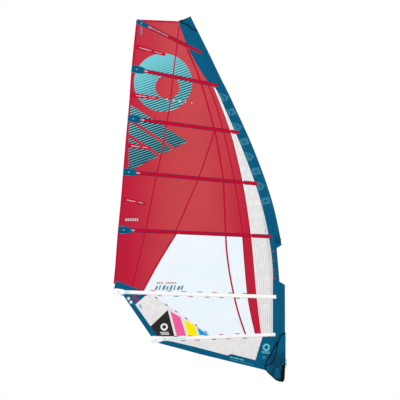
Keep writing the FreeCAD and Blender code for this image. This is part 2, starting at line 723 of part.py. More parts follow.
# The webbing loop runs through under the block's bridge and up both faces of the tack patch.
bridge_low = size("block_z") + size("bridge_low")
bridge_top = size("block_z") + size("bridge_high")
web_inner, web_outer = size("web_apart"), size("web_apart") + size("web_thick")
web_x = size("block_x") - size("web_wide") / 2
legs = Part.makeBox(size("web_wide"), 2 * web_outer, size("web_top") - bridge_top - 0.5,
                    Vector(web_x, -web_outer, bridge_top + 0.5))
between = Part.makeBox(size("web_wide") + 2, 2 * web_inner,
                       size("web_top") - bridge_top - 0.5 - size("web_thick"),
                       Vector(web_x - 1, -web_inner, bridge_top + 0.5 + size("web_thick")))
add_shape("tack_webbing", legs.cut(between))

# ---------------------------------------------------------------- check and write
doc.recompute()
NOT_EXPORTED = {"Sizes", "cup_outside", "cup_bore_tool", "housing_pattern"}
for item in doc.Objects:
    if "Invalid" in item.State or "Error" in item.State:
        raise RuntimeError(f"{item.Name} failed: {item.State}")

used_as_input = set()
for item in doc.Objects:
    if item.TypeId == "Part::Cut":
        used_as_input.update({item.Base.Name, item.Tool.Name})

pieces = []
for item in doc.Objects:
    is_piece = item.TypeId in ("PartDesign::Body", "Part::Feature", "Part::Cut", "Part::Cylinder")
    if is_piece and item.Name not in used_as_input and item.Name not in NOT_EXPORTED:
        pieces.append(item)

os.makedirs("parts", exist_ok=True)
for piece in pieces:
    shape = piece.Shape
    if shape.isNull() or not shape.isValid() or not shape.Solids:
        raise RuntimeError(f"{piece.Label} has no valid shape")
    shape.exportStep(f"parts/{piece.Label}.step")
    print(f"{piece.Label:24s} solids {len(shape.Solids)} volume {shape.Volume:12.1f}")
print(len(pieces), "pieces")
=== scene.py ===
"""Looks for the windsurf sail: film, sailcloth, seams, pockets, prints and hardware finishes.

Metres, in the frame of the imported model. Every cloth piece lies on one cambered surface,
camber(x, z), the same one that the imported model's panels follow.
"""
import math

import bpy
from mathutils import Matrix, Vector
from mathutils.geometry import delaunay_2d_cdt


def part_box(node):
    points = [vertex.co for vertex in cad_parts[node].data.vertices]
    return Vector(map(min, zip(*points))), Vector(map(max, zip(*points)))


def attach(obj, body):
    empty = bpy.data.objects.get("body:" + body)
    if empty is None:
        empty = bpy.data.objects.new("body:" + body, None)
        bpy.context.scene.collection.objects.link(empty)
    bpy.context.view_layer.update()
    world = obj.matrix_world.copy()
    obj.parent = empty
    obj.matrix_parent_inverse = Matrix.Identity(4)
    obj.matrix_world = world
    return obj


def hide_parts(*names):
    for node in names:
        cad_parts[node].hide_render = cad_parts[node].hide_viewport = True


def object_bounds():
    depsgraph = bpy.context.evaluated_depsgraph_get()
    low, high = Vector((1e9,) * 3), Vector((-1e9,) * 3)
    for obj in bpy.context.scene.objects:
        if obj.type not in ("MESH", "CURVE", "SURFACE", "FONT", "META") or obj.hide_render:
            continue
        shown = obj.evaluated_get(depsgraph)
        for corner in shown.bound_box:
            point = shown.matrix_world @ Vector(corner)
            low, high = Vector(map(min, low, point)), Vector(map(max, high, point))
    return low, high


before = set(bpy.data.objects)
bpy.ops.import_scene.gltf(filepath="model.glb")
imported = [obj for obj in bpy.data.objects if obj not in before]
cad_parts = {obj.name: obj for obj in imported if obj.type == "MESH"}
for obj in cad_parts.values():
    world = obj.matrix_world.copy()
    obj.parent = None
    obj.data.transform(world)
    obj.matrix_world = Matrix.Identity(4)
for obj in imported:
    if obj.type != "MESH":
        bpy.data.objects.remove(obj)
CAD_BOX = [list(corner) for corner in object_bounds()]
MM = 0.001

# ------------------------------------------------------------------ the sail's surface
# Height, luff (front of the sleeve), seam (back of the sleeve), leech and camber, millimetres.
STATIONS = [
    (-150, 30, -120, -2120, 60),
    (1000, 30, -120, -2120, 125),
    (1300, 20, -122, -2095, 130),
    (1700, -32, -172, -2065, 125),
    (2180, -145, -285, -2020, 110),
    (2780, -360, -500, -1972, 85),
    (3350, -615, -745, -1920, 55),
    (3530, -700, -828, -1908, 46),
    (3640, -757, -940, -1901, 41),
    (4000, -930, -1155, -1870, 26),
    (4450, -1155, -1330, -1822, 12),
]
LUFF, SEAM, LEECH, DEPTH = 1, 2, 3, 4
FLAT_SHARE = 0.08
HEAD_TWIST = 0.030
TWIST_FROM, TWIST_OVER = 1.0, 3.45
BELLY_PEAK = 0.4 ** 2 * 0.6 ** 3
NOSE = 0.030
TAPER = 0.030
HALF_CLOTH = 0.001
BATTENS = {
    1: ((-1815, 4380), (-1020, 3990), 42),
    2: ((-1880, 3790), (-815, 3580), 42),
    3: ((-1925, 3170), (-545, 2990), 42),
    4: ((-1980, 2500), (-315, 2350), 42),
    5: ((-2045, 1775), (-135, 1690), 42),
    6: ((-2110, 1000), (-80, 935), 50),
    7: ((-1640, 400), (-90, 465), 44),
}


def slope_at(index, column):
    """Slope of a station column, from the stations on either side."""
    before = STATIONS[max(index - 1, 0)]
    after = STATIONS[min(index + 1, len(STATIONS) - 1)]
    return (after[column] - before[column]) / (after[0] - before[0])


def profile(z, column):
    """A station column at height z, as one smooth curve through the stations."""
    z = min(max(z / MM, STATIONS[0][0]), STATIONS[-1][0])
    index = 0
    while index < len(STATIONS) - 2 and z > STATIONS[index + 1][0]:
        index += 1
    low, high = STATIONS[index], STATIONS[index + 1]
    span = high[0] - low[0]
    t = (z - low[0]) / span
    rise = high[column] - low[column]
    start = slope_at(index, column) * span
    end = slope_at(index + 1, column) * span
    bend = start + end - 2 * rise
    return (low[column] + t * (start + t * (3 * rise - 2 * start - end + t * bend))) * MM


def camber(x, z):
    """How far the cloth stands off the flat, to the +Y side."""
    seam = profile(z, SEAM)
    chord = seam - profile(z, LEECH)
    v = min(max(((seam - x) / chord - FLAT_SHARE) / (1 - FLAT_SHARE), 0.0), 1.0)
    belly = profile(z, DEPTH) * v ** 2 * (1 - v) ** 3 / BELLY_PEAK
    rise = min(max((z - TWIST_FROM) / TWIST_OVER, 0.0), 1.0)
    return belly + HEAD_TWIST * rise ** 2 * v ** 2 * (3 - 2 * v)


def half_depth(x, z):
    """Half the sleeve's depth at x: its flat tail, its taper and its round nose."""
    centre = profile(z, LUFF) - NOSE
    tail = centre - NOSE - TAPER
    reach = centre - tail
    touch = centre - NOSE ** 2 / reach
    if x >= touch:
        return math.sqrt(max(NOSE ** 2 - (x - centre) ** 2, 0.0))
    share = max((x - tail) / (touch - tail), 0.0)
    return HALF_CLOTH + share * (math.sqrt(NOSE ** 2 - (touch - centre) ** 2) - HALF_CLOTH)


def face(x, z, side, lift=0.0):
    """y of the sail's face at (x, z) on one side (-1 is the pocket side), lifted off it."""
    if x > profile(z, SEAM):
        return side * (half_depth(x, z) + lift)
    return camber(x, z) + side * (HALF_CLOTH + lift)


def on_batten(number, x):
    """Height of a batten's centre line at x."""
    (x0, z0), (x1, z1), _ = BATTENS[number]
    return (z0 + (z1 - z0) * (x / MM - x0) / (x1 - x0)) * MM


# ------------------------------------------------------------------ mesh helpers
SHARP = math.radians(50)
TUBE_SIDES = 8
THREAD = 0.0006
STITCH_SHARE = 0.84
STITCH_FACES = ((0, 1, 4, 3), (1, 2, 5, 4), (2, 0, 3, 5), (0, 2, 1), (3, 4, 5))
EVEN_ROW, EDGE_GAP = 0.866, 0.45
INK_LIFT, INK_THICK = 0.0002, 0.0003


def add_piece(name, verts, faces, material, body="sail"):
    """A mesh object that rides on a body."""
    mesh = bpy.data.meshes.new(name)
    mesh.from_pydata([tuple(v) for v in verts], [], faces)
    mesh.validate()
    mesh.polygons.foreach_set("use_smooth", [True] * len(mesh.polygons))
    mesh.set_sharp_from_angle(angle=SHARP)
    mesh.materials.append(material)
    piece = bpy.data.objects.new(name, mesh)
    bpy.context.scene.collection.objects.link(piece)
    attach(piece, body)
    return piece


def mm(points):
    """Millimetre points in metres."""
    return [(x * MM, z * MM) for x, z in points]


def even(low, high, count):
    """Numbers from low to high in count equal steps."""
    return [low + (high - low) * k / count for k in range(count + 1)]


def circle(centre, radius, count=24):
    """Points of a circle."""
    angles = [2 * math.pi * k / count for k in range(count)]
    return [(centre[0] + radius * math.cos(a), centre[1] + radius * math.sin(a)) for a in angles]


def beside(start, end, distance, above=0.0):
    """A point at a distance from start towards end, and above that line."""
    length = math.dist(start, end)
    ux, uz = (end[0] - start[0]) / length, (end[1] - start[1]) / length
    return start[0] + ux * distance - uz * above, start[1] + uz * distance + ux * above


def sides_of(outline):
    """An outline's sides, as pairs of points."""
    return zip(outline, outline[1:] + outline[:1])


def inside(x, z, outline):
    """Whether a point lies inside an outline."""
    hit = False
    for (x0, z0), (x1, z1) in sides_of(outline):
        if (z0 > z) != (z1 > z) and x < x0 + (x1 - x0) * (z - z0) / (z1 - z0):
            hit = not hit
    return hit


def from_segment(x, z, start, end):
    """A point's distance from a segment, and how far along the segment its nearest place is."""
    dx, dz = end[0] - start[0], end[1] - start[1]
    t = ((x - start[0]) * dx + (z - start[1]) * dz) / max(dx * dx + dz * dz, 1e-12)
    t = min(max(t, 0), 1)
    return math.hypot(x - start[0] - t * dx, z - start[1] - t * dz), t


def edge_distance(x, z, outline):
    """Distance from a point to an outline."""
    return min(from_segment(x, z, start, end)[0] for start, end in sides_of(outline))


def divided(outline, step):
    """An outline with its long sides divided."""
    points = []
    for (x0, z0), (x1, z1) in sides_of(outline):
        count = max(1, round(math.hypot(x1 - x0, z1 - z0) / step))
        points += [(x0 + (x1 - x0) * k / count, z0 + (z1 - z0) * k / count) for k in range(count)]
    return points


def flat_mesh(outline, holes, cell):
    """Points and triangles that fill an outline, evenly spaced inside it."""
    def filled(x, z):
        return inside(x, z, outline) and not any(inside(x, z, hole) for hole in holes)

    loops = [divided(outline, cell)] + [divided(hole, cell) for hole in holes]
    points = []
    edges = []
    for loop in loops:
        first = len(points)
        points += loop
        edges += [(first + k, first + (k + 1) % len(loop)) for k in range(len(loop))]
    xs = [p[0] for p in outline]
    zs = [p[1] for p in outline]
    row_high = cell * EVEN_ROW
    for row in range(int((max(zs) - min(zs)) / row_high) + 1):
        z = min(zs) + row * row_high
        for column in range(int((max(xs) - min(xs)) / cell) + 2):
            x = min(xs) + (column + 0.5 * (row % 2)) * cell
            if filled(x, z) and all(edge_distance(x, z, edge) > EDGE_GAP * cell
                                    for edge in [outline, *holes]):
                points.append((x, z))
    result = delaunay_2d_cdt([Vector(p) for p in points], edges, [], 0, 1e-6)
    flat = [(v.x, v.y) for v in result[0]]
    triangles = []
    for triangle in result[2]:
        x = sum(flat[k][0] for k in triangle) / 3
        z = sum(flat[k][1] for k in triangle) / 3
        if filled(x, z):
            triangles.append(list(triangle))
    used = sorted({k for triangle in triangles for k in triangle})
    index = {old: new for new, old in enumerate(used)}
    return [flat[k] for k in used], [[index[k] for k in t] for t in triangles]


def sheet_faces(flat, triangles, flip=False):
    """Faces of a closed sheet: its triangles near and far, and walls around their border."""
    count = len(flat)
    faces = []
    border = {}
    for a, b, c in triangles:
        (ax, az), (bx, bz), (cx, cz) = flat[a], flat[b], flat[c]
        if ((bx - ax) * (cz - az) - (bz - az) * (cx - ax) < 0) != flip:
            b, c = c, b
        faces += [(a, b, c), (c + count, b + count, a + count)]
        for edge in ((a, b), (b, c), (c, a)):
            if edge[::-1] in border:
                del border[edge[::-1]]
            else:
                border[edge] = True
    return faces + [(b, a, a + count, b + count) for a, b in border]


def closed_sheet(name, outline, near, far, material, cell, holes=()):
    """A thin closed sheet over an outline. near and far give its two faces' y at (x, z)."""
    flat, triangles = flat_mesh(outline, list(holes), cell)
    verts = [(x, near(x, z), z) for x, z in flat] + [(x, far(x, z), z) for x, z in flat]
    return add_piece(name, verts, sheet_faces(flat, triangles), material, "sail")


def decal(name, outline, material, side=-1, lift=INK_LIFT, thick=INK_THICK, cell=0.02,
          holes=()):
    """A thin printed or sewn mark on the sail."""
    levels = (lift + thick, lift) if side < 0 else (lift, lift + thick)
    near, far = (lambda x, z, up=up: face(x, z, side, up) for up in levels)
    return closed_sheet(name, outline, near, far, material, cell, holes)


def layered_faces(rows, width, ends=(False, True)):
    """Faces of a strip. Each ring of points is width outer ones and then width inner ones."""
    ring = 2 * width
    faces = []
    for a in range(0, rows * ring, ring):
        b = a + ring
        for j in range(width - 1):
            faces.append((a + j, a + j + 1, b + j + 1, b + j))
            faces.append((b + width + j, b + width + j + 1, a + width + j + 1, a + width + j))
        faces.append((a + width, a, b, b + width))
        faces.append((a + width - 1, a + ring - 1, b + ring - 1, b + width - 1))
    for last in ends:
        start = rows * ring if last else 0
        for j in range(width - 1):
            quad = (start + width + j, start + width + j + 1, start + j + 1, start + j)
            faces.append(quad[::-1] if last else quad)
    return faces


def mirrored(half):
    """A symmetric cross-section from (place, rise) pairs that run from its edge to its middle."""
    return (*half, *((-place, rise) for place, rise in reversed(half[:-1])))


STRAP_SHAPE = mirrored(((-0.5, 0.25), (-0.46, 0.85), (-0.40, 1.0), (0.0, 1.0)))


def smooth_line(points, step=0.025):
    """A smooth line through points, sampled evenly enough to bend."""
    ends = [points[0], *points, points[-1]]
    line = []
    for k in range(1, len(ends) - 2):
        p0, p1, p2, p3 = ends[k - 1:k + 3]
        count = max(2, int(math.dist(p1, p2) / step))
        for j in range(count):
            t = j / count
            line.append(tuple(
                0.5 * (2 * b + (c - a) * t + (2 * a - 5 * b + 4 * c - d) * t * t
                       + (3 * b - a - 3 * c + d) * t ** 3)
                for a, b, c, d in zip(p0, p1, p2, p3)))
    return line + [tuple(points[-1])]


def ribbon(name, line, width, material, side=-1, lift=0.0004, crown=0.0006,
           shape=(0.0, 0.7, 1.0, 1.0, 0.7, 0.0), slant=0.0):
    """A tape along a line of (x, z) points. width and crown may be functions of the share along.

    shape gives the rise across it, evenly spaced, or as (place, rise) pairs. slant cuts its far
    end at an angle.
    """
    wide = width if callable(width) else lambda t: width
    high = crown if callable(crown) else lambda t: crown
    if not isinstance(shape[0], tuple):
        shape = list(zip(even(-0.5, 0.5, len(shape) - 1), shape))
    verts = []
    last = len(line) - 1
    for k, (x, z) in enumerate(line):
        (x0, z0), (x1, z1) = line[max(k - 1, 0)], line[min(k + 1, last)]
        length = math.hypot(x1 - x0, z1 - z0)
        nx, nz = -(z1 - z0) / length, (x1 - x0) / length
        across = []
        for place, rise in shape:
            s = place * wide(k / last)
            back = slant * s if k == last else 0.0
            across.append((x + nx * s - nz * back, z + nz * s + nx * back,
                           lift + rise * high(k / last)))
        verts += [(px, face(px, pz, side, up), pz) for px, pz, up in across]
        verts += [(px, face(px, pz, side, lift * 0.2), pz) for px, pz, _ in across]
    faces = layered_faces(last, len(shape))
    if side > 0:
        faces = [f[::-1] for f in faces]
    return add_piece(name, verts, faces, material, "sail")


def direction(path, k):
    """Which way a 3-D path runs at its point k."""
    return (Vector(path[min(k + 1, len(path) - 1)]) - Vector(path[max(k - 1, 0)])).normalized()


def tube(name, path, radius, material, body="sail", flat=1.0):
    """A round bead along a 3-D path, closed at both ends."""
    verts = []
    for k, point in enumerate(path):
        way = direction(path, k)
        side = way.cross(Vector((0, 1, 0)))
        side = side.normalized() if side.length > 1e-4 else Vector((1, 0, 0))
        up = side.cross(way)
        for a in [2 * math.pi * j / TUBE_SIDES for j in range(TUBE_SIDES)]:
            verts.append(Vector(point) + radius * (math.cos(a) * side + flat * math.sin(a) * up))
    end = len(verts) - TUBE_SIDES
    faces = []
    for ring in range(0, end, TUBE_SIDES):
        for j in range(TUBE_SIDES):
            a, b = ring + j, ring + (j + 1) % TUBE_SIDES
            faces.append((a, b, b + TUBE_SIDES, a + TUBE_SIDES))
    faces += [tuple(reversed(range(TUBE_SIDES))), tuple(range(end, len(verts)))]
    return add_piece(name, verts, faces, material, body)


def strap(name, path, across, width, thick, body="sail"):
    """A flat strap along a 3-D path, with soft long edges. across is its width's direction."""
    across = Vector(across).normalized()
    verts = []
    for k, point in enumerate(path):
        normal = direction(path, k).cross(across).normalized()
        for sign in (1, -1):
            verts += [Vector(point) + across * place * width + normal * sign * share * thick / 2
                      for place, share in STRAP_SHAPE]
    faces = layered_faces(len(path) - 1, len(STRAP_SHAPE))
    return add_piece(name, verts, faces, WEBBING, body)


def stitches(name, line, material, side, lift, pitch=0.009, swing=0.003, offset=0.0):
    """A zigzag row of stitches along a line, each one a small raised thread."""
    verts = []
    faces = []
    walked = 0.0
    half, sway = pitch * STITCH_SHARE / 2, swing / 2
    for start, end in zip(line, line[1:]):
        while walked < math.dist(start, end):
            a, b = (beside(start, end, walked + sign * half, offset + sign * sway)
                    for sign in (-1, 1))
            tx, tz = (place - centre for place, centre in zip(beside(a, b, 0.0, THREAD), a))
            first = len(verts)
            for x, z in (a, b):
                verts += [(x + tx, face(x, z, side, lift), z + tz),
                          (x, face(x, z, side, lift + THREAD), z),
                          (x - tx, face(x, z, side, lift), z - tz)]
            faces += [tuple(first + k for k in corners) for corners in STITCH_FACES]
            walked += pitch
            sway = -sway
        walked -= math.dist(start, end)
    return add_piece(name, verts, faces, material)


# ------------------------------------------------------------------ material helpers
def srgb(red, green, blue):
    """A colour from its 0 to 255 screen values."""
    channels = []
    for value in (red, green, blue):
        c = value / 255
        channels.append(c / 12.92 if c <= 0.04045 else ((c + 0.055) / 1.055) ** 2.4)
    return (*channels, 1.0)


class Look:
    """A procedural material, built up from small steps."""

    def __init__(self, name, colour, roughness, specular=0.3, **sockets):
        self.material = bpy.data.materials.new(name)
        self.material.use_nodes = True
        self.tree = self.material.node_tree
        self.shader = self.tree.nodes["Principled BSDF"]
        sockets.update({"Base Color": colour, "Roughness": roughness,
                        "Specular IOR Level": specular})
        for key, value in sockets.items():
            self.shader.inputs[key].default_value = value
        self.coordinates = self.add("TexCoord").outputs["Object"]
        self.x, _, self.z = self.add("SeparateXYZ", {0: self.coordinates}).outputs
        self.height = None

    def feed(self, socket, value):
        """Links a socket or sets a number."""
        if isinstance(value, bpy.types.NodeSocket):
            self.tree.links.new(value, socket)
        else:
            socket.default_value = value

    def add(self, kind, inputs=None, **settings):
        """A new node, with its settings and what goes into its inputs."""
        node = self.tree.nodes.new("ShaderNode" + kind)
        for key, value in settings.items():
            setattr(node, key, value)
        for key, value in (inputs or {}).items():
            self.feed(node.inputs[key], value)
        return node

    def calc(self, operation, *values):
        """One math step."""
        return self.add("Math", dict(enumerate(values)), operation=operation).outputs[0]

    def times(self, a, b):
        return self.calc("MULTIPLY", a, b)

    def most(self, a, b):
        return self.calc("MAXIMUM", a, b)

    def turned(self, degrees):
        """A coordinate that runs across stripes which rise by this angle."""
        c, s = math.cos(math.radians(degrees)), math.sin(math.radians(degrees))
        return self.calc("MULTIPLY_ADD", self.z, c, self.times(self.x, -s))

    def spread(self, value, low, high, start=0.0, end=1.0, kind="LINEAR"):
        """Start below low, end above high, even between."""
        return self.add("MapRange", {"Value": value, "From Min": low, "From Max": high,
                                     "To Min": start, "To Max": end},
                        interpolation_type=kind).outputs[0]

    def step(self, value, low, high):
        """0 below low, 1 above high, smooth between."""
        return self.spread(value, low, high, kind="SMOOTHSTEP")

    def lines(self, coordinate, pitch, width, soft=0.3):
        """1 on thin lines repeated at a pitch along a coordinate."""
        phase = self.calc("PINGPONG", self.calc("DIVIDE", coordinate, pitch), 0.5)
        return self.calc("SUBTRACT", 1.0, self.step(phase, width * (1 - soft), width * (1 + soft)))

    def grid(self, pitch, width):
        """1 on thin crossed lines."""
        return self.most(self.lines(self.x, pitch, width), self.lines(self.z, pitch, width))

    def mix(self, factor, a, b):
        """A colour between a and b."""
        return self.add("Mix", {0: factor, 6: a, 7: b}, data_type="RGBA").outputs[2]

    def placed(self, **settings):
        """The surface's coordinates, stretched or turned."""
        return self.add("Mapping", {"Vector": self.coordinates, **settings}).outputs[0]

    def noise(self, scale, detail=3.0, stretch=(1, 1, 1)):
        """Noise over the surface."""
        return self.add("TexNoise", {"Vector": self.placed(Scale=stretch), "Scale": scale,
                                     "Detail": detail}).outputs[0]

    def colour(self, value):
        self.feed(self.shader.inputs["Base Color"], value)

    def vary(self, base, amount, scale):
        """A colour with slow, slight darker patches."""
        shade = self.step(self.noise(scale), 0.35, 0.7)
        darker = self.add("HueSaturation", {"Value": 1 - amount, "Color": base}).outputs[0]
        return self.mix(shade, base, darker)

    def paint(self, base, amount, scale):
        """Sets the base colour, with slow, slight darker patches."""
        self.colour(self.vary(base, amount, scale))

    def rough(self, low, high, scale):
        """Roughness that wanders between two values."""
        wander = self.spread(self.noise(scale), 0.0, 1.0, low, high)
        self.feed(self.shader.inputs["Roughness"], wander)

    def bump(self, height, distance, strength=1.0):
        """Adds a bump layer under the ones before it."""
        layer = {"Strength": strength, "Distance": distance, "Height": height}
        if self.height:
            layer["Normal"] = self.height
        self.height = self.add("Bump", layer).outputs[0]
        self.feed(self.shader.inputs["Normal"], self.height)

    def weave(self, pitch, distance):
        """A plain weave of crossed threads."""
        across, up = (self.calc("SINE", self.times(way, 2 * math.pi / pitch))
                      for way in (self.x, self.z))
        self.bump(self.times(across, up), distance)

    def billow(self):
        """The slow waves of film under tension. Returns the finished material."""
        self.bump(self.noise(2.2, 2.0), 0.004, 0.25)
        return self.material


# ------------------------------------------------------------------ colours
# Red stops: the film's ramp paints camber shade deep at the leech and luff and a highlight across the middle;
# RED_DEEP also tints the yarns.
RED_DEEP = srgb(184, 17, 52)
RED_EDGE = srgb(188, 22, 55)
RED_MIDDLE = srgb(195, 55, 67)
RED_PAINTED_HIGHLIGHT = srgb(198, 67, 73)
BLUE = srgb(0, 92, 129)
BLUE_DARK = srgb(0, 75, 106)
AQUA = srgb(112, 198, 208)
TEAL = srgb(22, 66, 80)
XPLY = srgb(236, 234, 234)
BLACK = srgb(14, 14, 16)


# ------------------------------------------------------------------ cloth and film materials
FILM_GLOSS, CLOTH_GLOSS = 0.12, 0.06
FILM_ROUGH, CLOTH_ROUGH, LAMINATE_ROUGH = 0.32, 0.62, 0.42
PRINT_EDGE = 0.0015


def film_red_painted_shade(look):
    """The red film's colour with painted camber shade: deep at the leech and the luff, with a painted highlight
    lighter across the middle.
    """
    ramp = look.add("ValToRGB", {0: look.spread(look.x, -2.06, -0.22)})
    stops = ramp.color_ramp.elements
    stops[0].position, stops[0].color = 0.0, RED_DEEP
    stops[1].position, stops[1].color = 1.0, RED_DEEP
    for place, colour in ((0.08, RED_EDGE), (0.27, RED_MIDDLE), (0.42, RED_PAINTED_HIGHLIGHT),
                          (0.58, RED_PAINTED_HIGHLIGHT), (0.74, RED_MIDDLE), (0.88, RED_EDGE)):
        stops.new(place).color = colour
    return ramp.outputs[0]


def half_plane(look, a, b):
    """Signed distance from the line a to b, positive on its left."""
    (ax, az), (bx, bz) = a, b
    length = math.hypot(bx - ax, bz - az)
    nx, nz = -(bz - az) / length, (bx - ax) / length
    return look.calc("MULTIPLY_ADD", look.x, nx,
                     look.calc("MULTIPLY_ADD", look.z, nz, -(ax * nx + az * nz)))


def within(look, corners):
    """1 inside a triangle given anticlockwise."""
    first, second, third = (half_plane(look, a, b) for a, b in sides_of(corners))
    nearest = look.calc("MINIMUM", look.calc("MINIMUM", first, second), third)
    return look.step(nearest, -PRINT_EDGE, PRINT_EDGE)


def round_mask(look, centre, radius):
    """1 inside a circle."""
    dx = look.calc("SUBTRACT", look.x, centre[0])
    dz = look.calc("SUBTRACT", look.z, centre[1])
    reach = look.calc("SQRT", look.calc("ADD", look.times(dx, dx), look.times(dz, dz)))
    return look.calc("SUBTRACT", 1.0, look.step(reach, radius - PRINT_EDGE, radius + PRINT_EDGE))


def striped(look, share_from, share_to, low, high):
    """Slanted stripes of two colours, whose dark share grows down a direction."""
    phase = look.calc("PINGPONG", look.calc("DIVIDE", look.turned(19.0), 0.0292), 0.5)
    fall = look.calc("MULTIPLY_ADD", look.z, -1.0, look.times(look.x, 0.55))
    share = look.calc("MULTIPLY_ADD", look.spread(fall, low, high), 0.5 * (share_to - share_from),
                      0.5 * share_from)
    dark = look.step(look.calc("SUBTRACT", share, phase), -0.02, 0.02)
    return look.mix(dark, AQUA, TEAL)


def with_yarns(look, base, share):
    """A film's colour with the fine crossed yarns that are laminated into it."""
    yarns = look.most(*(look.lines(look.turned(degrees), 0.011, 0.09) for degrees in (62, -62)))
    look.bump(yarns, 0.00015, 0.6)
    return look.mix(look.times(yarns, share), base, RED_DEEP)


def red_film():
    """Red film with a striped ring, and a striped wedge that two slanted bands divide."""
    look = Look("red_film", RED_MIDDLE, FILM_ROUGH, FILM_GLOSS)
    # shaded carries the painted camber shade and painted highlight of the red film, with its yarns.
    shaded = with_yarns(look, film_red_painted_shade(look), 0.16)
    ring = look.calc("SUBTRACT", round_mask(look, (-1.495, 3.615), 0.364),
                     round_mask(look, (-1.440, 3.560), 0.150))
    wedge = within(look, [(-1.925, 3.352), (-1.925, 2.505), (-1.190, 2.880)])
    upper_cut, lower_cut = (
        look.calc("ABSOLUTE", half_plane(look, (-1.885, z), (-1.190, z - 0.458)))
        for z in (3.130, 2.930))
    cuts = look.calc("MINIMUM", upper_cut, lower_cut)
    wedge = look.times(wedge, look.step(cuts, 0.016, 0.019))
    painted = look.mix(look.most(ring, 0.0), shaded, striped(look, 0.0, 0.50, -4.78, -4.25))
    painted = look.mix(wedge, painted, striped(look, 0.54, 0.80, -4.30, -3.60))
    look.paint(painted, 0.05, 3.0)
    look.rough(0.26, 0.40, 5.0)
    return look.billow()


def band_film():
    look = Look("red_band", RED_EDGE, FILM_ROUGH, FILM_GLOSS)
    look.paint(with_yarns(look, srgb(190, 24, 54), 0.2), 0.05, 4.0)
    look.rough(0.26, 0.40, 5.0)
    return look.billow()


def window_film():
    look = Look("window_film", srgb(234, 246, 254), 0.07, 0.5, Alpha=0.45)
    wipes = look.step(look.noise(2.0, 3.0, (1, 1, 3)), 0.4, 0.75)
    look.colour(look.mix(wipes, srgb(232, 247, 255), srgb(238, 249, 255)))
    look.rough(0.05, 0.14, 3.0)
    look.bump(look.noise(1.2, 2.0), 0.003, 0.2)
    return look.material


def finished_laminate(look, marks, share, base, yarn):
    """A laminate whose yarns stand slightly proud."""
    look.paint(look.mix(look.times(marks, share), base, yarn), 0.03, 5.0)
    look.rough(0.34, 0.5, 12.0)
    look.bump(marks, 0.0004, 0.5)
    return look.billow()


def white_laminate(name, degrees, wavy):
    """White laminate with grey yarns. The clew's yarns are wavy, the foot's are straight."""
    look = Look(name, XPLY, LAMINATE_ROUGH, FILM_GLOSS)
    main = look.turned(degrees)
    if wavy:
        drift = look.calc("SUBTRACT", look.noise(7.0, 2.0), 0.5)
        main = look.calc("ADD", main, look.times(drift, 0.030))
    main_lines = look.lines(main, 0.0265, 0.14, 0.6)
    cross = look.lines(look.turned(degrees - 74), 0.019, 0.07, 0.6)
    fine = look.lines(look.turned(degrees + 37), 0.0062, 0.14, 0.5)
    broken = look.step(look.noise(16.0, 2.0), 0.40, 0.62)
    marks = look.times(look.most(main_lines, look.times(cross, 0.45)), broken)
    marks = look.most(marks, look.times(fine, 0.22))
    return finished_laminate(look, marks, 0.75, XPLY, srgb(204, 203, 204))


def luff_laminate():
    """The luff strip's laminate: upright yarns, dotted, and greyer beside the sleeve."""
    look = Look("luff_laminate", XPLY, LAMINATE_ROUGH, FILM_GLOSS)
    height = look.most(look.calc("SUBTRACT", look.z, 0.935), 0.0)
    lean = look.times(look.calc("POWER", height, 1.75), -0.098)
    across = look.calc("SUBTRACT", look.x, lean)
    columns = look.lines(across, 0.0235, 0.15, 0.6)
    beads = look.lines(look.calc("MULTIPLY_ADD", across, 0.9, look.z), 0.033, 0.30, 0.5)
    wobble = look.step(look.noise(14.0, 2.0), 0.28, 0.55)
    marks = look.times(look.most(look.times(columns, beads), look.times(columns, 0.3)), wobble)
    base = look.mix(look.step(across, -0.156, -0.150), XPLY, srgb(218, 218, 220))
    return finished_laminate(look, marks, 0.95, base, srgb(178, 180, 184))


def sailcloth(name, colour, dark, shade=0.08):
    look = Look(name, colour, CLOTH_ROUGH, CLOTH_GLOSS)
    ripstop = look.grid(0.006, 0.05)
    look.paint(look.mix(look.times(ripstop, 0.25), colour, dark), shade, 4.0)
    look.rough(0.5, 0.72, 18.0)
    look.weave(0.0011, 0.00012)
    look.bump(ripstop, 0.00012, 0.5)
    look.bump(look.noise(4.0, 3.0), 0.003, 0.3)
    return look.material


def tape(name, colour, dark, roughness=0.5, shade=0.07):
    look = Look(name, colour, roughness, CLOTH_GLOSS)
    ribs = look.lines(look.turned(30), 0.0018, 0.22)
    look.paint(look.mix(look.times(ribs, 0.25), colour, dark), shade, 9.0)
    look.rough(roughness - 0.1, roughness + 0.12, 20.0)
    look.bump(ribs, 0.00012, 0.5)
    look.weave(0.0016, 0.0001)
    return look.material


def webbing(name, colour):
    look = Look(name, colour, 0.6, 0.05)
    ribs = look.lines(look.x, 0.0032, 0.2)
    picks = look.lines(look.z, 0.0014, 0.25)
    both = look.most(look.times(ribs, 0.6), look.times(picks, 0.3))
    look.paint(look.mix(both, colour, srgb(30, 30, 33)), 0.1, 30.0)
    look.rough(0.5, 0.75, 60.0)
    look.bump(picks, 0.0002, 0.7)
    look.bump(ribs, 0.0003, 0.7)
    return look.material


def ink(name, colour):
    """A screen-printed mark: slightly uneven ink."""
    look = Look(name, colour, 0.45, CLOTH_GLOSS)
    look.paint(colour, 0.04, 30.0)
    look.rough(0.35, 0.55, 40.0)
    look.bump(look.noise(300.0, 2.0), 0.00004, 0.4)
    return look.material


def thread(name, colour):
    look = Look(name, colour, 0.55, 0.15)
    twist = look.lines(look.turned(45), 0.0009, 0.25)
    look.paint(look.mix(look.times(twist, 0.2), colour, BLACK), 0.06, 40.0)
    look.rough(0.45, 0.65, 60.0)
    look.bump(twist, 0.00015, 0.8)
    return look.material


def plastic(name, colour, roughness, wear):
    look = Look(name, colour, roughness, 0.5)
    scuffs = look.step(look.noise(90.0, 5.0, (1, 1, 4)), 0.58, 0.72)
    look.colour(look.mix(look.times(scuffs, 0.35), look.vary(colour, 0.06, 40.0), wear))
    look.rough(roughness - 0.08, roughness + 0.15, 60.0)
    look.bump(look.noise(600.0, 2.0), 0.00006, 0.5)
    return look.material


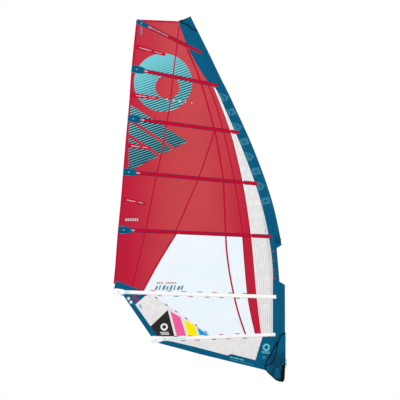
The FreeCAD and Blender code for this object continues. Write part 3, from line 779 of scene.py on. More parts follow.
def metal(name, colour, roughness, stretch):
    look = Look(name, colour, roughness, 0.5, Metallic=1.0)
    brushed = look.noise(220.0, 4.0, stretch)
    look.colour(look.mix(brushed, colour, (*(0.72 * c for c in colour[:3]), 1.0)))
    look.rough(roughness - 0.08, roughness + 0.14, 150.0)
    look.bump(brushed, 0.00005, 0.5)
    return look.material


RED_FILM = red_film()
RED_BAND = band_film()
WINDOW = window_film()
CLEW_LAMINATE = white_laminate("clew_laminate", -31, True)
FOOT_LAMINATE = white_laminate("foot_laminate", 33, False)
LUFF_LAMINATE = luff_laminate()
BLUE_CLOTH = sailcloth("blue_sailcloth", BLUE, BLUE_DARK)
PATCH_CLOTH = sailcloth("blue_patch_cloth", BLUE, BLUE_DARK, 0.05)
CUTOUT_CLOTH = sailcloth("cutout_patch_cloth", BLUE_DARK, srgb(3, 44, 66))
RED_TAPE = tape("red_tape", srgb(194, 13, 58), srgb(140, 8, 38))
RED_CLOTH = tape("red_pocket_cloth", srgb(200, 0, 45), srgb(150, 0, 34), 0.55)
WHITE_CLOTH = tape("white_pocket_cloth", srgb(255, 255, 255), srgb(226, 228, 231), 0.55, 0.02)
NAVY_TAPE = tape("navy_tape", srgb(52, 50, 92), srgb(26, 24, 52))
BINDING = tape("black_binding", BLACK, srgb(2, 2, 3), 0.6)
GREY_CORD = tape("grey_cord", srgb(128, 130, 133), srgb(84, 86, 90))
WEBBING = webbing("black_webbing", BLACK)
AQUA_INK = ink("turquoise_print", AQUA)
SOFT_INK = ink("dull_turquoise_print", srgb(78, 158, 178))
DARK_INK = ink("slate_print", srgb(96, 140, 158))
RED_INK = ink("red_print", srgb(196, 8, 48))
PINK_INK = ink("pink_print", srgb(240, 94, 158))
YELLOW_INK = ink("yellow_print", srgb(254, 236, 3))
CYAN_INK = ink("cyan_print", srgb(0, 160, 230))
BLACK_INK = ink("black_print", srgb(44, 42, 40))
WHITE_INK = ink("white_print", srgb(238, 238, 238))
NAVY_THREAD = thread("navy_thread", srgb(30, 42, 84))
BLUE_THREAD = thread("blue_thread", srgb(18, 96, 130))
RED_THREAD = thread("red_thread", srgb(196, 16, 58))
WHITE_THREAD = thread("white_thread", srgb(236, 240, 243))
BLACK_PLASTIC = plastic("black_plastic", srgb(28, 28, 30), 0.4, srgb(80, 80, 84))
WHITE_PLASTIC = plastic("white_plastic", srgb(226, 230, 232), 0.38, srgb(190, 192, 196))
STEEL = metal("stainless_steel", srgb(196, 196, 192), 0.26, (1, 1, 0.1))
EYELET_STEEL = metal("eyelet_steel", srgb(214, 214, 214), 0.22, (1, 0.1, 1))
ROD = plastic("carbon_rod", srgb(24, 25, 27), 0.3, srgb(66, 66, 70))


# ------------------------------------------------------------------ panel corners
def seam_x(z):
    """The sleeve's back edge."""
    return profile(z, SEAM)


def seam_crossing(number):
    """The height at which a batten's line crosses the sleeve's back edge."""
    low, high = BATTENS[number][1][1] * MM - 0.2, BATTENS[number][0][1] * MM + 0.2
    for _ in range(30):
        middle = (low + high) / 2
        if on_batten(number, seam_x(middle)) > middle:
            low = middle
        else:
            high = middle
    return low


def seam_points(top, bottom):
    """The sleeve's back edge from top to bottom, tucked just under the sleeve."""
    count = max(1, round((top - bottom) / 0.06))
    return [(seam_x(z) - 0.0005, z) for z in even(top, bottom, count)]


def leech_points(low, high):
    """The leech from low to high."""
    count = max(1, round((high - low) / 0.08))
    return [(profile(z, LEECH), z) for z in even(low, high, count)]


def batten_end(number):
    """The point where a batten's line meets the leech."""
    x = profile(BATTENS[number][0][1] * MM, LEECH)
    return x, on_batten(number, x)


def at_batten(number, x):
    """A point on a batten's line."""
    return x * MM, on_batten(number, x * MM)


SEAM_AT = {number: seam_crossing(number) for number in BATTENS}
STRIP_EDGE = {n: at_batten(n, x) for n, x in ((3, -645), (4, -490), (5, -388), (6, -318),
                                              (7, -260))}
BAND_EDGE = {n: at_batten(n, x) for n, x in ((5, -500), (6, -433), (7, -335))}
STRIP_TIP = 3.560
HEAD_SEAM = 4.382
WINDOW_TOP = at_batten(5, -1325)
WINDOW_LOW, CLEW_TOP, CLEW_FRONT, CLEW_LOW, LEECH_LOW, FOOT_LEECH = mm(
    [(-1745, 1012.1), (-2088, 1140), (-1675, 986), (-1845, 835), (-1990, 950), (-1650, 450)])
FOOT_INNER = at_batten(7, -1565)
CLEW_SLANT = at_batten(7, -875)
FOOT_SEAM = at_batten(7, -245)
STRIP_STEP, TACK_LOW, HEAD_CORNER = mm([(-690, 205), (-340, 145), (-1822, 4404)])
FOOT_EDGE = mm([(-1390, 380), (-1090, 310)])
FOOT_BEND = (-0.640, 0.222)
LOW_EDGE = mm([(-340, 50), (-1035, 220), (-1255, 280), (-1560, 360)])
END = {number: batten_end(number) for number in (1, 2, 3, 4, 5)}


def between_leech(low, high):
    """Leech points between two batten ends, without the ends themselves."""
    return leech_points(END[low][1] if low in END else low, END[high][1])[1:-1]


EYELETS = mm([(-1925, 915), (-1895, 870)])
EYELET_HOLE = 0.0125
CLOTH_CELL, FINE_CELL = 0.034, 0.018


def cloth_near(x, z):
    return camber(x, z) - HALF_CLOTH


def cloth_far(x, z):
    return camber(x, z) + HALF_CLOTH


def panel(name, node, look, *outline):
    """One sewn panel. look is its material and a slot name that is not used, outline its corners."""
    holes = [circle(centre, EYELET_HOLE) for centre in EYELETS] if node == "clew_patch" else []
    cell = FINE_CELL if node in ("clew_patch", "tack_patch", "foot_strip") else CLOTH_CELL
    material, slot = look
    piece = closed_sheet(name, list(outline), cloth_near, cloth_far, material, cell, holes)
    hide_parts(node)


FILM, PATCH = (RED_FILM, "red_film"), (PATCH_CLOTH, "blue_sailcloth")
panel("head_film", "head_panel", FILM,
      HEAD_CORNER, *seam_points(HEAD_SEAM, SEAM_AT[1]), END[1])
panel("film_below_batten_1", "film_panel_2", FILM,
      END[1], *seam_points(SEAM_AT[1], SEAM_AT[2]), END[2], *between_leech(2, 1))
panel("film_below_batten_2", "film_panel_3", FILM,
      *seam_points(SEAM_AT[2], STRIP_TIP), STRIP_EDGE[3], END[3], *between_leech(3, 2), END[2])
for number, node in ((3, "film_panel_4"), (4, "film_panel_5")):
    panel(f"film_below_batten_{number}", node, FILM,
          STRIP_EDGE[number], STRIP_EDGE[number + 1], END[number + 1],
          *between_leech(number + 1, number), END[number])
panel("film_at_the_leech", "leech_film_panel", FILM,
      END[5], WINDOW_TOP, WINDOW_LOW, CLEW_TOP, *leech_points(CLEW_TOP[1], END[5][1])[1:-1])
panel("clear_window", "window_panel", (WINDOW, "window_film"),
      WINDOW_TOP, *(BAND_EDGE[n] for n in (5, 6, 7)), CLEW_SLANT, CLEW_FRONT, WINDOW_LOW)
panel("red_band", "window_band", (RED_BAND, "red_xply"),
      BAND_EDGE[5], *(STRIP_EDGE[n] for n in (5, 6, 7)), BAND_EDGE[7], BAND_EDGE[6])
panel("luff_laminate_strip", "luff_strip", (LUFF_LAMINATE, "white_xply"),
      *seam_points(STRIP_TIP, SEAM_AT[7]), *(STRIP_EDGE[n] for n in (7, 6, 5, 4, 3)))
panel("clew_laminate_panel", "clew_panel", (CLEW_LAMINATE, "white_xply"),
      CLEW_FRONT, CLEW_SLANT, FOOT_INNER, CLEW_LOW)
panel("clew_cloth", "clew_patch", PATCH,
      CLEW_TOP, CLEW_FRONT, CLEW_LOW, FOOT_INNER, FOOT_LEECH, LEECH_LOW, (-2.120, 0.975))
panel("foot_laminate_panel", "foot_panel", (FOOT_LAMINATE, "white_xply"),
      FOOT_INNER, CLEW_SLANT, BAND_EDGE[7], STRIP_EDGE[7], FOOT_SEAM, TACK_LOW, FOOT_BEND,
      STRIP_STEP, *reversed(FOOT_EDGE))
panel("foot_cloth", "foot_strip", PATCH,
      FOOT_LEECH, FOOT_INNER, *FOOT_EDGE, STRIP_STEP, FOOT_BEND, TACK_LOW, *LOW_EDGE)
panel("tack_cloth", "tack_patch", (PATCH_CLOTH, "dark_sailcloth"),
      FOOT_SEAM, *seam_points(SEAM_AT[7], 0), (-0.220, 0.020), LOW_EDGE[0], TACK_LOW)


# ------------------------------------------------------------------ mast sleeve
SKIN = 0.0009
CUTOUT_LOW, CUTOUT_HIGH, CAP_LOW = 1.126, 1.544, 4.330
# Columns around the sleeve: side, and share of the way from the seam to the nose.
SHARES = (0, 0.12, 0.24, 0.36, 0.46, 0.56, 0.66, 0.74, 0.80, 0.84, 0.88, 0.915, 0.945, 0.968,
          0.984, 0.995)
COLUMNS = [*((-1, s) for s in SHARES), (0, 1.0), *((1, s) for s in reversed(SHARES))]


def sleeve_x(z, share):
    seam, luff = profile(z, SEAM), profile(z, LUFF)
    return seam + (luff - seam) * share


def sleeve_point(z, side, share, inset=0.0):
    """A point of the sleeve's cloth, outside or inset to its inner face."""
    x = sleeve_x(z, share)
    depth = half_depth(x, z)
    if inset:
        away = profile(z, LUFF) - NOSE
        if side == 0:
            return x - inset, 0.0, z
        if x > away:
            reach = (NOSE - inset) / NOSE
            return away + (x - away) * reach, side * depth * reach, z
        depth = max(depth - inset, 0.0001)
    return x, side * depth, z


def cut_height(cut, share):
    """Where a cut line, given as heights at x, crosses one column of the sleeve."""
    z = cut(-1.0)
    for _ in range(12):
        z = cut(sleeve_x(z, share))
    return z


def sleeve_skin(name, low, high, rows, closed_top=False):
    """A length of sleeve between two cut lines."""
    spans = [(side, share, cut_height(low, share), cut_height(high, share))
             for side, share in COLUMNS]
    verts = []
    for row in range(rows + 1):
        for inset in (0.0, SKIN):
            for side, share, bottom, top in spans:
                reach = top - bottom - (0.002 if closed_top and inset else 0.0)
                verts.append(sleeve_point(bottom + reach * row / rows, side, share, inset))
    width = len(COLUMNS)
    faces = layered_faces(rows, width, (False,) if closed_top else (False, True))
    if closed_top:
        start = rows * 2 * width
        for level in (start, start + width):
            for j in range(width // 2):
                quad = (level + j, level + j + 1, level + width - 2 - j, level + width - 1 - j)
                quad = tuple(dict.fromkeys(quad))
                faces.append(quad if level == start else quad[::-1])
        faces.append((start, start + width - 1, start + 2 * width - 1, start + width))
    return add_piece(name, verts, faces, BLUE_CLOTH, "sail")


def low_cut(x):
    """The lower edge of the boom cut-out."""
    return min(max(1.125 - (x + 0.040) * 40 / 70, 1.085), 1.126)


def top_cut(x):
    """The upper edge of the boom cut-out."""
    return max(min(1.545 + (x + 0.075) * 40 / 65, 1.600), 1.545)


def head_cut(x):
    """The head's top edge."""
    points = mm([(-1500, 4368), (-1320, 4384), (-1240, 4400), (-1145, 4440), (-1000, 4440)])
    for (x0, z0), (x1, z1) in zip(points, points[1:]):
        if x <= x1:
            return z0 + (z1 - z0) * max((x - x0) / (x1 - x0), 0)
    return points[-1][1]


sleeve_lower = sleeve_skin("lower_mast_sleeve", lambda x: 0.0, low_cut, 26)
sleeve_upper = sleeve_skin("upper_mast_sleeve", top_cut, lambda x: CAP_LOW, 90)
head_cap = sleeve_skin("sleeve_head", lambda x: CAP_LOW, head_cut, 6, True)
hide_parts("sleeve_lower")
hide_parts("sleeve_upper")
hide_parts("head_cap")
web_outline = [*((seam_x(z), z) for z in even(CUTOUT_HIGH, CUTOUT_LOW, 12)),
               (-0.041, CUTOUT_LOW), (-0.076, CUTOUT_HIGH)]
web = closed_sheet("sleeve_web", web_outline, lambda x, z: -HALF_CLOTH,
                   lambda x, z: HALF_CLOTH, BLUE_CLOTH, 0.02)
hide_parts("boom_cutout_web")


# ------------------------------------------------------------------ seams, tapes and stitching
FACES = ((-1, "front"), (1, "back"))
TAPE_LIFT, TAPE_CROWN = 0.0002, 0.0005
SEAM_WIDE, SEAM_ROWS = 0.017, (-0.005, 0.005)
BAND_WIDE = 0.016


def both_sides(name, line, width, offsets):
    """A red tape on both faces of the cloth, with a stitch row along each of its edges."""
    made = [ribbon(f"{name}_{word}", line, width, RED_TAPE, side, TAPE_LIFT, TAPE_CROWN) for side, word in FACES]
    for side, word in FACES:
        for offset in offsets:
            label = f"{name}_stitch_{word}_{'a' if offset < 0 else 'b'}"
            made.append(stitches(label, line, RED_THREAD, side, 0.0009, offset=offset))
    return made


seam_a = mm([(-1295, 4320), (-1320, 4090), (-1360, 3770), (-1400, 3400), (-1440, 3155),
             (-1515, 2720), (-1580, 2440), (-1690, 1875), (-1785, 1455), (-1880, 1065)])
seam_b = mm([(-1192, 4040), (-1040, 3670), (-955, 3400), (-850, 3015), (-825, 2905),
             (-770, 2595), (-740, 2365), (-710, 1690), (-700, 1520), (-665, 1250),
             (-610, 965), (-545, 710), (-462, 462)])
seam_c = mm([(-850, 3012), (-1040, 2450), (-1336, 1760)])
seam_d = mm([(-940, 3610), (-855, 3400), (-750, 3050), (-675, 2740), (-595, 2350),
             (-505, 1795), (-500, 1700)])
leech_line = [(profile(z, LEECH) + 0.0125, z) for z in even(1.100, 4.395, 110)]
window_edge = [(WINDOW_TOP[0] + 0.001, WINDOW_TOP[1] - 0.004), (-1.560, 1.352), WINDOW_LOW]
tapes = []
for name, line, width, offsets in (
        ("seam_a", smooth_line(seam_a), SEAM_WIDE, SEAM_ROWS),
        ("seam_b", smooth_line(seam_b), 0.021, SEAM_ROWS),
        ("seam_c", smooth_line(seam_c), SEAM_WIDE, SEAM_ROWS),
        ("seam_d", smooth_line(seam_d), SEAM_WIDE, SEAM_ROWS),
        ("leech_tape", leech_line, 0.025, (-0.008,)),
        ("head_tape", smooth_line(mm([(-1810, 4390), (-1314, 4371)])), 0.024, (0.007,)),
        ("window_edge_tape", smooth_line(window_edge), 0.022, (-0.007, 0.007)),
        ("band_front_tape", smooth_line([STRIP_EDGE[n] for n in (5, 6, 7)]), BAND_WIDE, SEAM_ROWS),
        ("band_back_tape", smooth_line([BAND_EDGE[n] for n in (5, 6, 7)]), BAND_WIDE, SEAM_ROWS)):
    tapes += both_sides(name, line, width, offsets)

clew_line = smooth_line([CLEW_FRONT, CLEW_SLANT])
strip_line = smooth_line([(seam_x(3.555) - 0.004, 3.555),
                          *(STRIP_EDGE[n] for n in (3, 4, 5, 6, 7))])
for side, word in FACES:
    tapes.append(ribbon(f"strip_edge_tape_{word}", strip_line, 0.013, WHITE_CLOTH, side, 0.0006,
                        0.0004))
    tapes.append(ribbon(f"clew_seam_tape_{word}", clew_line, 0.020, WHITE_CLOTH, side, 0.0003,
                        0.0005))
    for offset, material, label in ((-0.006, NAVY_THREAD, "low"), (0.006, RED_THREAD, "high")):
        tapes.append(stitches(f"clew_seam_stitch_{label}_{word}", clew_line, material, side,
                              0.0012, 0.010, 0.004, offset))

sleeve_seam = [(seam_x(z) + 0.005, z) for z in even(0.010, 4.325, 220)]
sleeve_edge = [(seam_x(z) + 0.004, z) for z in even(0.004, 4.380, 220)]
for side, word in FACES:
    tapes.append(ribbon(f"sleeve_seam_{word}", sleeve_edge, 0.012, BLUE_CLOTH, side, 0.0001,
                        0.0005))
for side, word in FACES:
    for offset, label in ((0.0, "a"), (-0.006, "b")):
        tapes.append(stitches(f"sleeve_seam_stitch_{label}_{word}", sleeve_seam, BLUE_THREAD,
                              side, 0.0008, 0.009, 0.004, offset))


# ------------------------------------------------------------------ batten pockets
POCKET_SHAPE = mirrored(((-0.5, 0.0), (-0.475, 0.04), (-0.43, 0.07), (-0.41, 0.3),
                         (-0.385, 0.72), (-0.35, 0.92), (-0.25, 0.99), (0.0, 1.0)))
COVER_SHAPE = mirrored(((-0.5, 0.0), (-0.48, 0.08), (-0.43, 0.10), (-0.41, 0.35),
                        (-0.395, 0.75), (-0.37, 0.95), (-0.30, 1.0), (0.0, 1.0)))
MINI_SHAPE = (0.0, 0.05, 0.12, 0.7, 1.0, 1.0, 0.7, 0.12, 0.05, 0.0)
FLAT_SHAPE = (0.0, 0.8, 1.0, 1.0, 0.8, 0.0)
CROWN, POCKET_LIFT = 0.0098, 0.0009
ON_POCKET = 0.0108
BACK_WIDE, BACK_REACH = 0.030, 0.011
END_ROUND, ROUND_OVER, TAPER_FROM = 0.28, 0.16, 0.45
HOUSING_HALF = 0.0067
PAST_LEECH = 0.008
COVER_LIFT, COVER_GAP = 0.0020, 0.0012
COVER_LEAST, COVER_END = 0.0138, 0.0104
COVER_FADE_FROM, COVER_FADE_OVER = 0.090, 0.030
COVER_WIDE, HOUSING_REACH = 0.050, 0.017
MARK_AT, TICK_HALF = 0.058, 0.0085
WORDS = ((1, "upper"), (-1, "lower"))
# Pocket width and where it starts, where these aren't the usual ones.
POCKET_WIDE = {6: 0.046, 7: 0.042}
POCKET_START = {6: 0.012, 7: 0.012}
PATCH_WIDE = {1: (0.064, 0.050), 6: (0.082, 0.062), 7: (0.092, 0.056)}
pockets = []


def along(number, distance, above=0.0):
    """A point at a distance from a batten's leech end, and above its line."""
    return beside(*mm(BATTENS[number][:2]), distance, above)


def batten_length(number):
    return math.dist(*mm(BATTENS[number][:2]))


def batten_line(number, start, end, step=0.03):
    """A straight run of a batten's line between two distances."""
    return [along(number, distance)
            for distance in even(start, end, max(2, round((end - start) / step)))]


def box_on(number, start, end, low, high, lean=0.0):
    """The corners of a bar on a batten pocket."""
    corners = ((start, low), (end, low), (end + lean, high), (start + lean, high))
    return [along(number, distance, above) for distance, above in corners]


def on_pocket(name, outline, material=AQUA_INK, cell=0.006):
    """A mark printed on a pocket's crown."""
    pockets.append(decal(name, outline, material, -1, ON_POCKET, cell=cell))


def stitch_pair(name, line, material, side, lift, reach, pitch=0.009):
    """Stitch rows at the same distance above and below a line."""
    for sign, word in WORDS:
        pockets.append(stitches(f"{name}_stitch_{word}", line, material, side, lift, pitch,
                                offset=sign * reach))


def patch_taper(wide, narrow):
    """A patch's width: rounded at the leech, then tapered to the pocket."""
    def width(t):
        rounded = 1 - END_ROUND * (1 - min(t / ROUND_OVER, 1.0)) ** 2
        share = max(0.0, t - TAPER_FROM) / (1 - TAPER_FROM)
        return rounded * (wide + (narrow - wide) * share)
    return width


def cover_crown(number, span):
    """A cover's rise: high enough over the tensioner's housing, then down to the pocket."""
    slider_low, slider_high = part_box(f"tensioner_slider_{number}")
    housing_face = 0.5 * (slider_low[1] + slider_high[1]) - HOUSING_HALF

    def rise(t):
        x, z = along(number, span * t - PAST_LEECH)
        cloth = max(camber(x, z + up) for up in (-HOUSING_REACH, HOUSING_REACH)) - HALF_CLOTH
        over = cloth - COVER_LIFT - housing_face + COVER_GAP
        fade = min(max((span * t - COVER_FADE_FROM) / COVER_FADE_OVER, 0.0), 1.0)
        return max(over, COVER_LEAST) * (1 - fade) + COVER_END * fade
    return rise


for number in BATTENS:
    long = batten_length(number)
    red = number <= 5
    cloth = RED_CLOTH if red else WHITE_CLOTH
    sewn = RED_THREAD if red else WHITE_THREAD
    seam_distance = long - math.dist(at_batten(number, BATTENS[number][1][0]),
                                     (seam_x(SEAM_AT[number]), SEAM_AT[number]))
    wide = POCKET_WIDE.get(number, 0.034)
    start = POCKET_START.get(number, 0.100)
    pocket = ribbon(f"pocket_{number}", batten_line(number, start, long), wide, cloth, -1,
                    POCKET_LIFT, CROWN, POCKET_SHAPE, 0.5 if red else 0.0)
    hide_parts(f"batten_pocket_{number}")
    pockets.append(pocket)
    stitch_pair(f"pocket_{number}", batten_line(number, start, long - 0.004), sewn, -1, 0.0016,
                0.5 * wide - 0.003)
    if red:
        pockets.append(ribbon(f"pocket_{number}_edging",
                              batten_line(number, 0.120, seam_distance + 0.004), wide + 0.013,
                              NAVY_TAPE, -1, 0.0001, 0.0007, FLAT_SHAPE))
    pockets.append(ribbon(f"batten_{number}_back_tape", batten_line(number, 0.006, seam_distance),
                          BACK_WIDE, cloth, 1, TAPE_LIFT, 0.0006, FLAT_SHAPE))
    stitch_pair(f"batten_{number}_back", batten_line(number, 0.01, seam_distance - 0.004), sewn,
                1, 0.0008, BACK_REACH)

    # The leech end: a wide sewn patch, and the cover over the tensioner.
    wide_end, narrow_end = PATCH_WIDE.get(number, (0.098, 0.070))
    end_cloth = PATCH_CLOTH if red else WHITE_CLOTH
    patch_long = 0.150 if red else 0.125
    patch_line = batten_line(number, -PAST_LEECH, patch_long, 0.008)
    patch_width = patch_taper(wide_end, narrow_end)
    cover_rise = cover_crown(number, patch_long + PAST_LEECH)
    pockets += [
        ribbon(f"leech_patch_{number}", patch_line, patch_width, end_cloth, -1, 0.0012, 0.0011,
               FLAT_SHAPE),
        ribbon(f"tensioner_cover_{number}", patch_line, COVER_WIDE, end_cloth, -1, COVER_LIFT,
               cover_rise, COVER_SHAPE),
        ribbon(f"leech_patch_{number}_back", patch_line, patch_width, end_cloth, 1, 0.0008,
               0.0010, FLAT_SHAPE)]
    stitch_pair(f"leech_patch_{number}", batten_line(number, 0.008, patch_long * 0.45, 0.01),
                WHITE_THREAD, -1, 0.0024, 0.5 * wide_end - 0.005, 0.007)
    spot = along(number, MARK_AT)
    mark_share = (MARK_AT + PAST_LEECH) / (patch_long + PAST_LEECH)
    mark_lift = COVER_LIFT + INK_THICK + cover_rise(mark_share)
    pockets.append(decal(f"end_mark_{number}", circle(spot, 0.0095, 16), AQUA_INK, -1, mark_lift,
                         cell=0.006, holes=[circle(spot, 0.0042, 10)]))
    if red:
        on_pocket(f"pocket_mark_{number}", box_on(number, 0.153, 0.170, -TICK_HALF, TICK_HALF))
        chevron = ((0.176, TICK_HALF), (0.187, TICK_HALF), (0.196, 0.0), (0.187, -TICK_HALF),
                   (0.176, -TICK_HALF), (0.185, 0.0))
        on_pocket(f"pocket_tick_{number}", [along(number, *corner) for corner in chevron],
                  WHITE_INK)
    else:
        for k, (low, high) in enumerate(((0.150, 0.163), (0.171, 0.180), (0.187, 0.194))):
            on_pocket(f"pocket_mark_{number}_{k}",
                      box_on(number, low, high, -0.010, 0.010, 0.003))

for k in range(15):
    start = 0.205 + 0.0145 * k
    end = start + (0.010, 0.006, 0.011)[k % 3]
    tall = (0.0075, 0.005, 0.0085, 0.006)[k % 4]
    on_pocket(f"head_pocket_bar_{k}", box_on(1, start, end, -0.5 * tall, tall, 0.003),
              SOFT_INK if k % 5 == 3 else AQUA_INK, 0.008)
for k in range(13):
    start = 0.205 + 0.0175 * k
    end = start + (0.013, 0.009, 0.014)[k % 3]
    on_pocket(f"foot_pocket_bar_{k}", box_on(7, start, end, -0.006, (0.006, 0.004)[k % 2], 0.003),
              AQUA_INK, 0.008)

# Broken lines beside the two white pockets.
DASH, DASH_PITCH, DASH_WIDE = 0.055, 0.385, 0.0085
for number, edge in ((6, 0.0268), (7, 0.0248)):
    for sign, word in WORDS:
        low, high = sorted((sign * edge, sign * (edge + DASH_WIDE)))
        for place, material, tint in ((0.28, NAVY_THREAD, "navy"), (0.46, RED_THREAD, "red")):
            place += 0.09 if sign < 0 else 0.0
            count = 0
            while place + DASH < batten_length(number) - 0.32:
                pockets.append(decal(f"edge_dash_{number}_{word}_{tint}_{count}",
                                     box_on(number, place, place + DASH, low, high), material))
                place += DASH_PITCH
                count += 1

# ------------------------------------------------------------------ mini battens in the leech
MINI_BATTENS = [((-1850, 4070), (-1465, 3960)), ((-1885, 3460), (-1545, 3415)),
                ((-1935, 2830), (-1650, 2795)), ((-1990, 2155), (-1710, 2100))]
MINI_EDGE = 0.0235
MINI_LINES = ((0.002, 0.0046, 0.14, 0.56), (-0.0046, -0.002, 0.17, 0.50),
              (0.000, 0.0042, 0.64, 0.72), (-0.003, 0.0028, 0.74, 0.80),
              (-0.001, 0.0040, 0.82, 0.87))
for k, (leech_end, front_end) in enumerate(MINI_BATTENS, 1):
    ends = mm([leech_end, front_end])
    shares = even(0.0, 1.0, 14)
    length = math.dist(*ends)
    line = [beside(*ends, length * share) for share in shares]
    wedge = ribbon(f"mini_pocket_{k}", line, lambda t: 0.060 - 0.028 * t, RED_TAPE, -1, POCKET_LIFT,
                   lambda t: 0.0066 - 0.002 * t, MINI_SHAPE)
    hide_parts("mini_batten_pockets")
    pockets.append(wedge)
    pockets.append(ribbon(f"mini_pocket_{k}_back", line, lambda t: 0.040 - 0.016 * t, RED_TAPE,
                          1, 0.0002, 0.0007, FLAT_SHAPE))
    for sign, word in WORDS:
        edge = [beside(*ends, length * share, sign * MINI_EDGE * (1 - 0.46 * share))
                for share in shares]
        pockets.append(stitches(f"mini_pocket_{k}_stitch_{word}", edge, RED_THREAD, -1, 0.0018,
                                0.008))
    for label, (low, high, start, end) in zip("abcde", MINI_LINES):
        outline = [beside(*ends, length * share, up)
                   for share, up in ((start, low), (end, low), (end, high), (start, high))]
        pockets.append(decal(f"mini_line_{k}_{label}", outline, WHITE_INK, -1, 0.0079))


def mark(name, outline, material, lift=INK_LIFT, cell=0.02, holes=()):
    decal(name, outline, material, -1, lift, cell=cell, holes=holes)


def bar(x, z, wide, tall, lean=0.0, slope=0.0):
    """A bar's corners, from its lower left one. It may lean, and its foot may slope."""
    rise = slope * wide
    return [(x, z), (x + wide, z + rise), (x + wide + lean, z + rise + tall), (x + lean, z + tall)]


def ring(name, centre, material, lift, cell, sides=(24, 16)):
    mark(name, circle(centre, 0.046, sides[0]), material, lift, cell,
         [circle(centre, 0.024, sides[1])])


leech_edge = mm([(-1855, 843), (-1842, 839), (-1650, 568), (-1556, 448), (-1548, 404),
                 (-1578, 408)])
for name, side in (("leech_cloth_edge", -1), ("leech_cloth_edge_back", 1)):
    decal(name, leech_edge, PATCH_CLOTH, side, 0.0001)
clew_across, clew_up = (CLEW_SLANT[k] - CLEW_FRONT[k] for k in (0, 1))
for k in range(6):
    t = 0.10 + 0.155 * k
    mark(f"clew_seam_dash_{k}",
         bar(CLEW_FRONT[0] + clew_across * t, CLEW_FRONT[1] + clew_up * t, 0.040 * clew_across,
             0.009, 0.005, clew_up / clew_across), NAVY_THREAD, 0.0014)
for k, (x, z) in enumerate(((-0.224, 1.752), (-0.218, 1.770))):
    mark(f"sleeve_note_{k}", bar(x, z, 0.013, 0.012), DARK_INK)
for label, material, outline in (
        ("black", BLACK_INK, [(-1435, 772), (-1352, 444), (-1480, 444), (-1556, 448),
                              (-1650, 568)]),
        ("pink", PINK_INK, [(-1405, 757), (-1278, 682), (-1205, 450), (-1322, 448)]),
        ("yellow", YELLOW_INK, [(-1232, 657), (-1095, 575), (-1066, 455), (-1182, 452)]),
        ("cyan", CYAN_INK, [(-1068, 555), (-935, 470), (-940, 461), (-1038, 458)])):
    mark(f"block_{label}", mm(outline), material)
ring("block_ring", (-1.480, 0.560), WHITE_INK, 0.0005, 0.01)
for k in range(3):
    mark(f"block_bar_{k}", bar(-1.535 + 0.010 * k, 0.490 - 0.014 * k, 0.110 - 0.006 * k, 0.007),
         WHITE_INK, 0.0005)
mark("clew_label", mm([(-1802, 836), (-1780, 846), (-1752, 798), (-1774, 786)]), AQUA_INK,
     cell=0.01)
POINTER = ((-0.006, 0.020), (0.034, 0.020), (0.046, 0.0), (0.034, -0.016), (-0.006, -0.016),
           (0.010, 0.0))
for k, (x, z) in enumerate(((-1.872, 0.935), (-1.842, 0.890))):
    mark(f"clew_pointer_{k}", [(x + a, z + b) for a, b in POINTER], RED_INK, 0.0003, 0.01)
for k in range(4):
    mark(f"clew_tick_{k}", bar(-1.862 + 0.022 * k, 0.972 - 0.004 * k, 0.012, 0.007, 0.004),
         AQUA_INK, cell=0.01)
for k in range(3):
    mark(f"clew_low_tick_{k}", bar(-1.862 + 0.016 * k, 0.842 - 0.010 * k, 0.011, 0.007, 0.003),
         AQUA_INK, cell=0.01)
for k in range(8):
    mark(f"window_bar_{k}", bar(-1.600 + 0.046 * k, 1.022, (0.026, 0.018, 0.030, 0.022)[k % 4],
                                0.058 if k % 3 else 0.048, 0.020), DARK_INK)
for k in (0, 1, 2, 4, 5, 6, 7, 8):
    mark(f"window_dash_{k}", bar(-1.575 + 0.028 * k, 1.101, 0.018, 0.017, 0.006),
         DARK_INK if k == 8 else RED_INK)
FOOT_SLOPE = -0.235
for row, (count, tall, begin, material) in enumerate(((7, 0.014, -0.660, AQUA_INK),
                                                      (12, 0.007, -0.662, SOFT_INK))):
    for k in range(count):
        x = begin + 0.025 * k
        z = 0.178 - 0.024 * row + FOOT_SLOPE * (x + 0.66)
        mark(f"foot_bar_{row}_{k}",
             bar(x, z, (0.019, 0.014, 0.020)[k % 3], tall, 0.003, FOOT_SLOPE), material)
ring("tack_disc", (-0.203, 0.305), AQUA_INK, 0.0003, 0.012, (28, 18))
for k in range(2):
    mark(f"tack_bar_{k}", bar(-0.262, 0.251 - 0.016 * k, 0.104, 0.008, slope=-0.010 / 0.104),
         AQUA_INK, 0.0003)
for k in range(3):
    mark(f"tack_note_{k}", bar(-0.255 + 0.004 * k, 0.186 - 0.012 * k, 0.043 - 0.008 * k, 0.006),
         SOFT_INK, 0.0003)
for row in range(2):
    for k in range(6):
        mark(f"head_note_{row}_{k}", bar(-1.775 + 0.011 * row, 4.330 - 0.024 * k, 0.008, 0.017),
             SOFT_INK)
for row in range(2):
    for k in range(6):
        mark(f"leech_note_{row}_{k}", bar(-1.965 + 0.028 * k, 1.905 - 0.018 * row, 0.020, 0.009),
             WHITE_INK)
for k, (x, wide) in enumerate(((-1.457, 0.022), (-1.368, 0.018), (-1.300, 0.030),
                               (-1.222, 0.014), (-1.142, 0.012))):
    mark(f"film_dash_{k}", bar(x, 3.400 - 0.145 * (x + 1.457), wide, 0.012,
                               slope=-0.002 / wide), WHITE_INK, 0.0008)

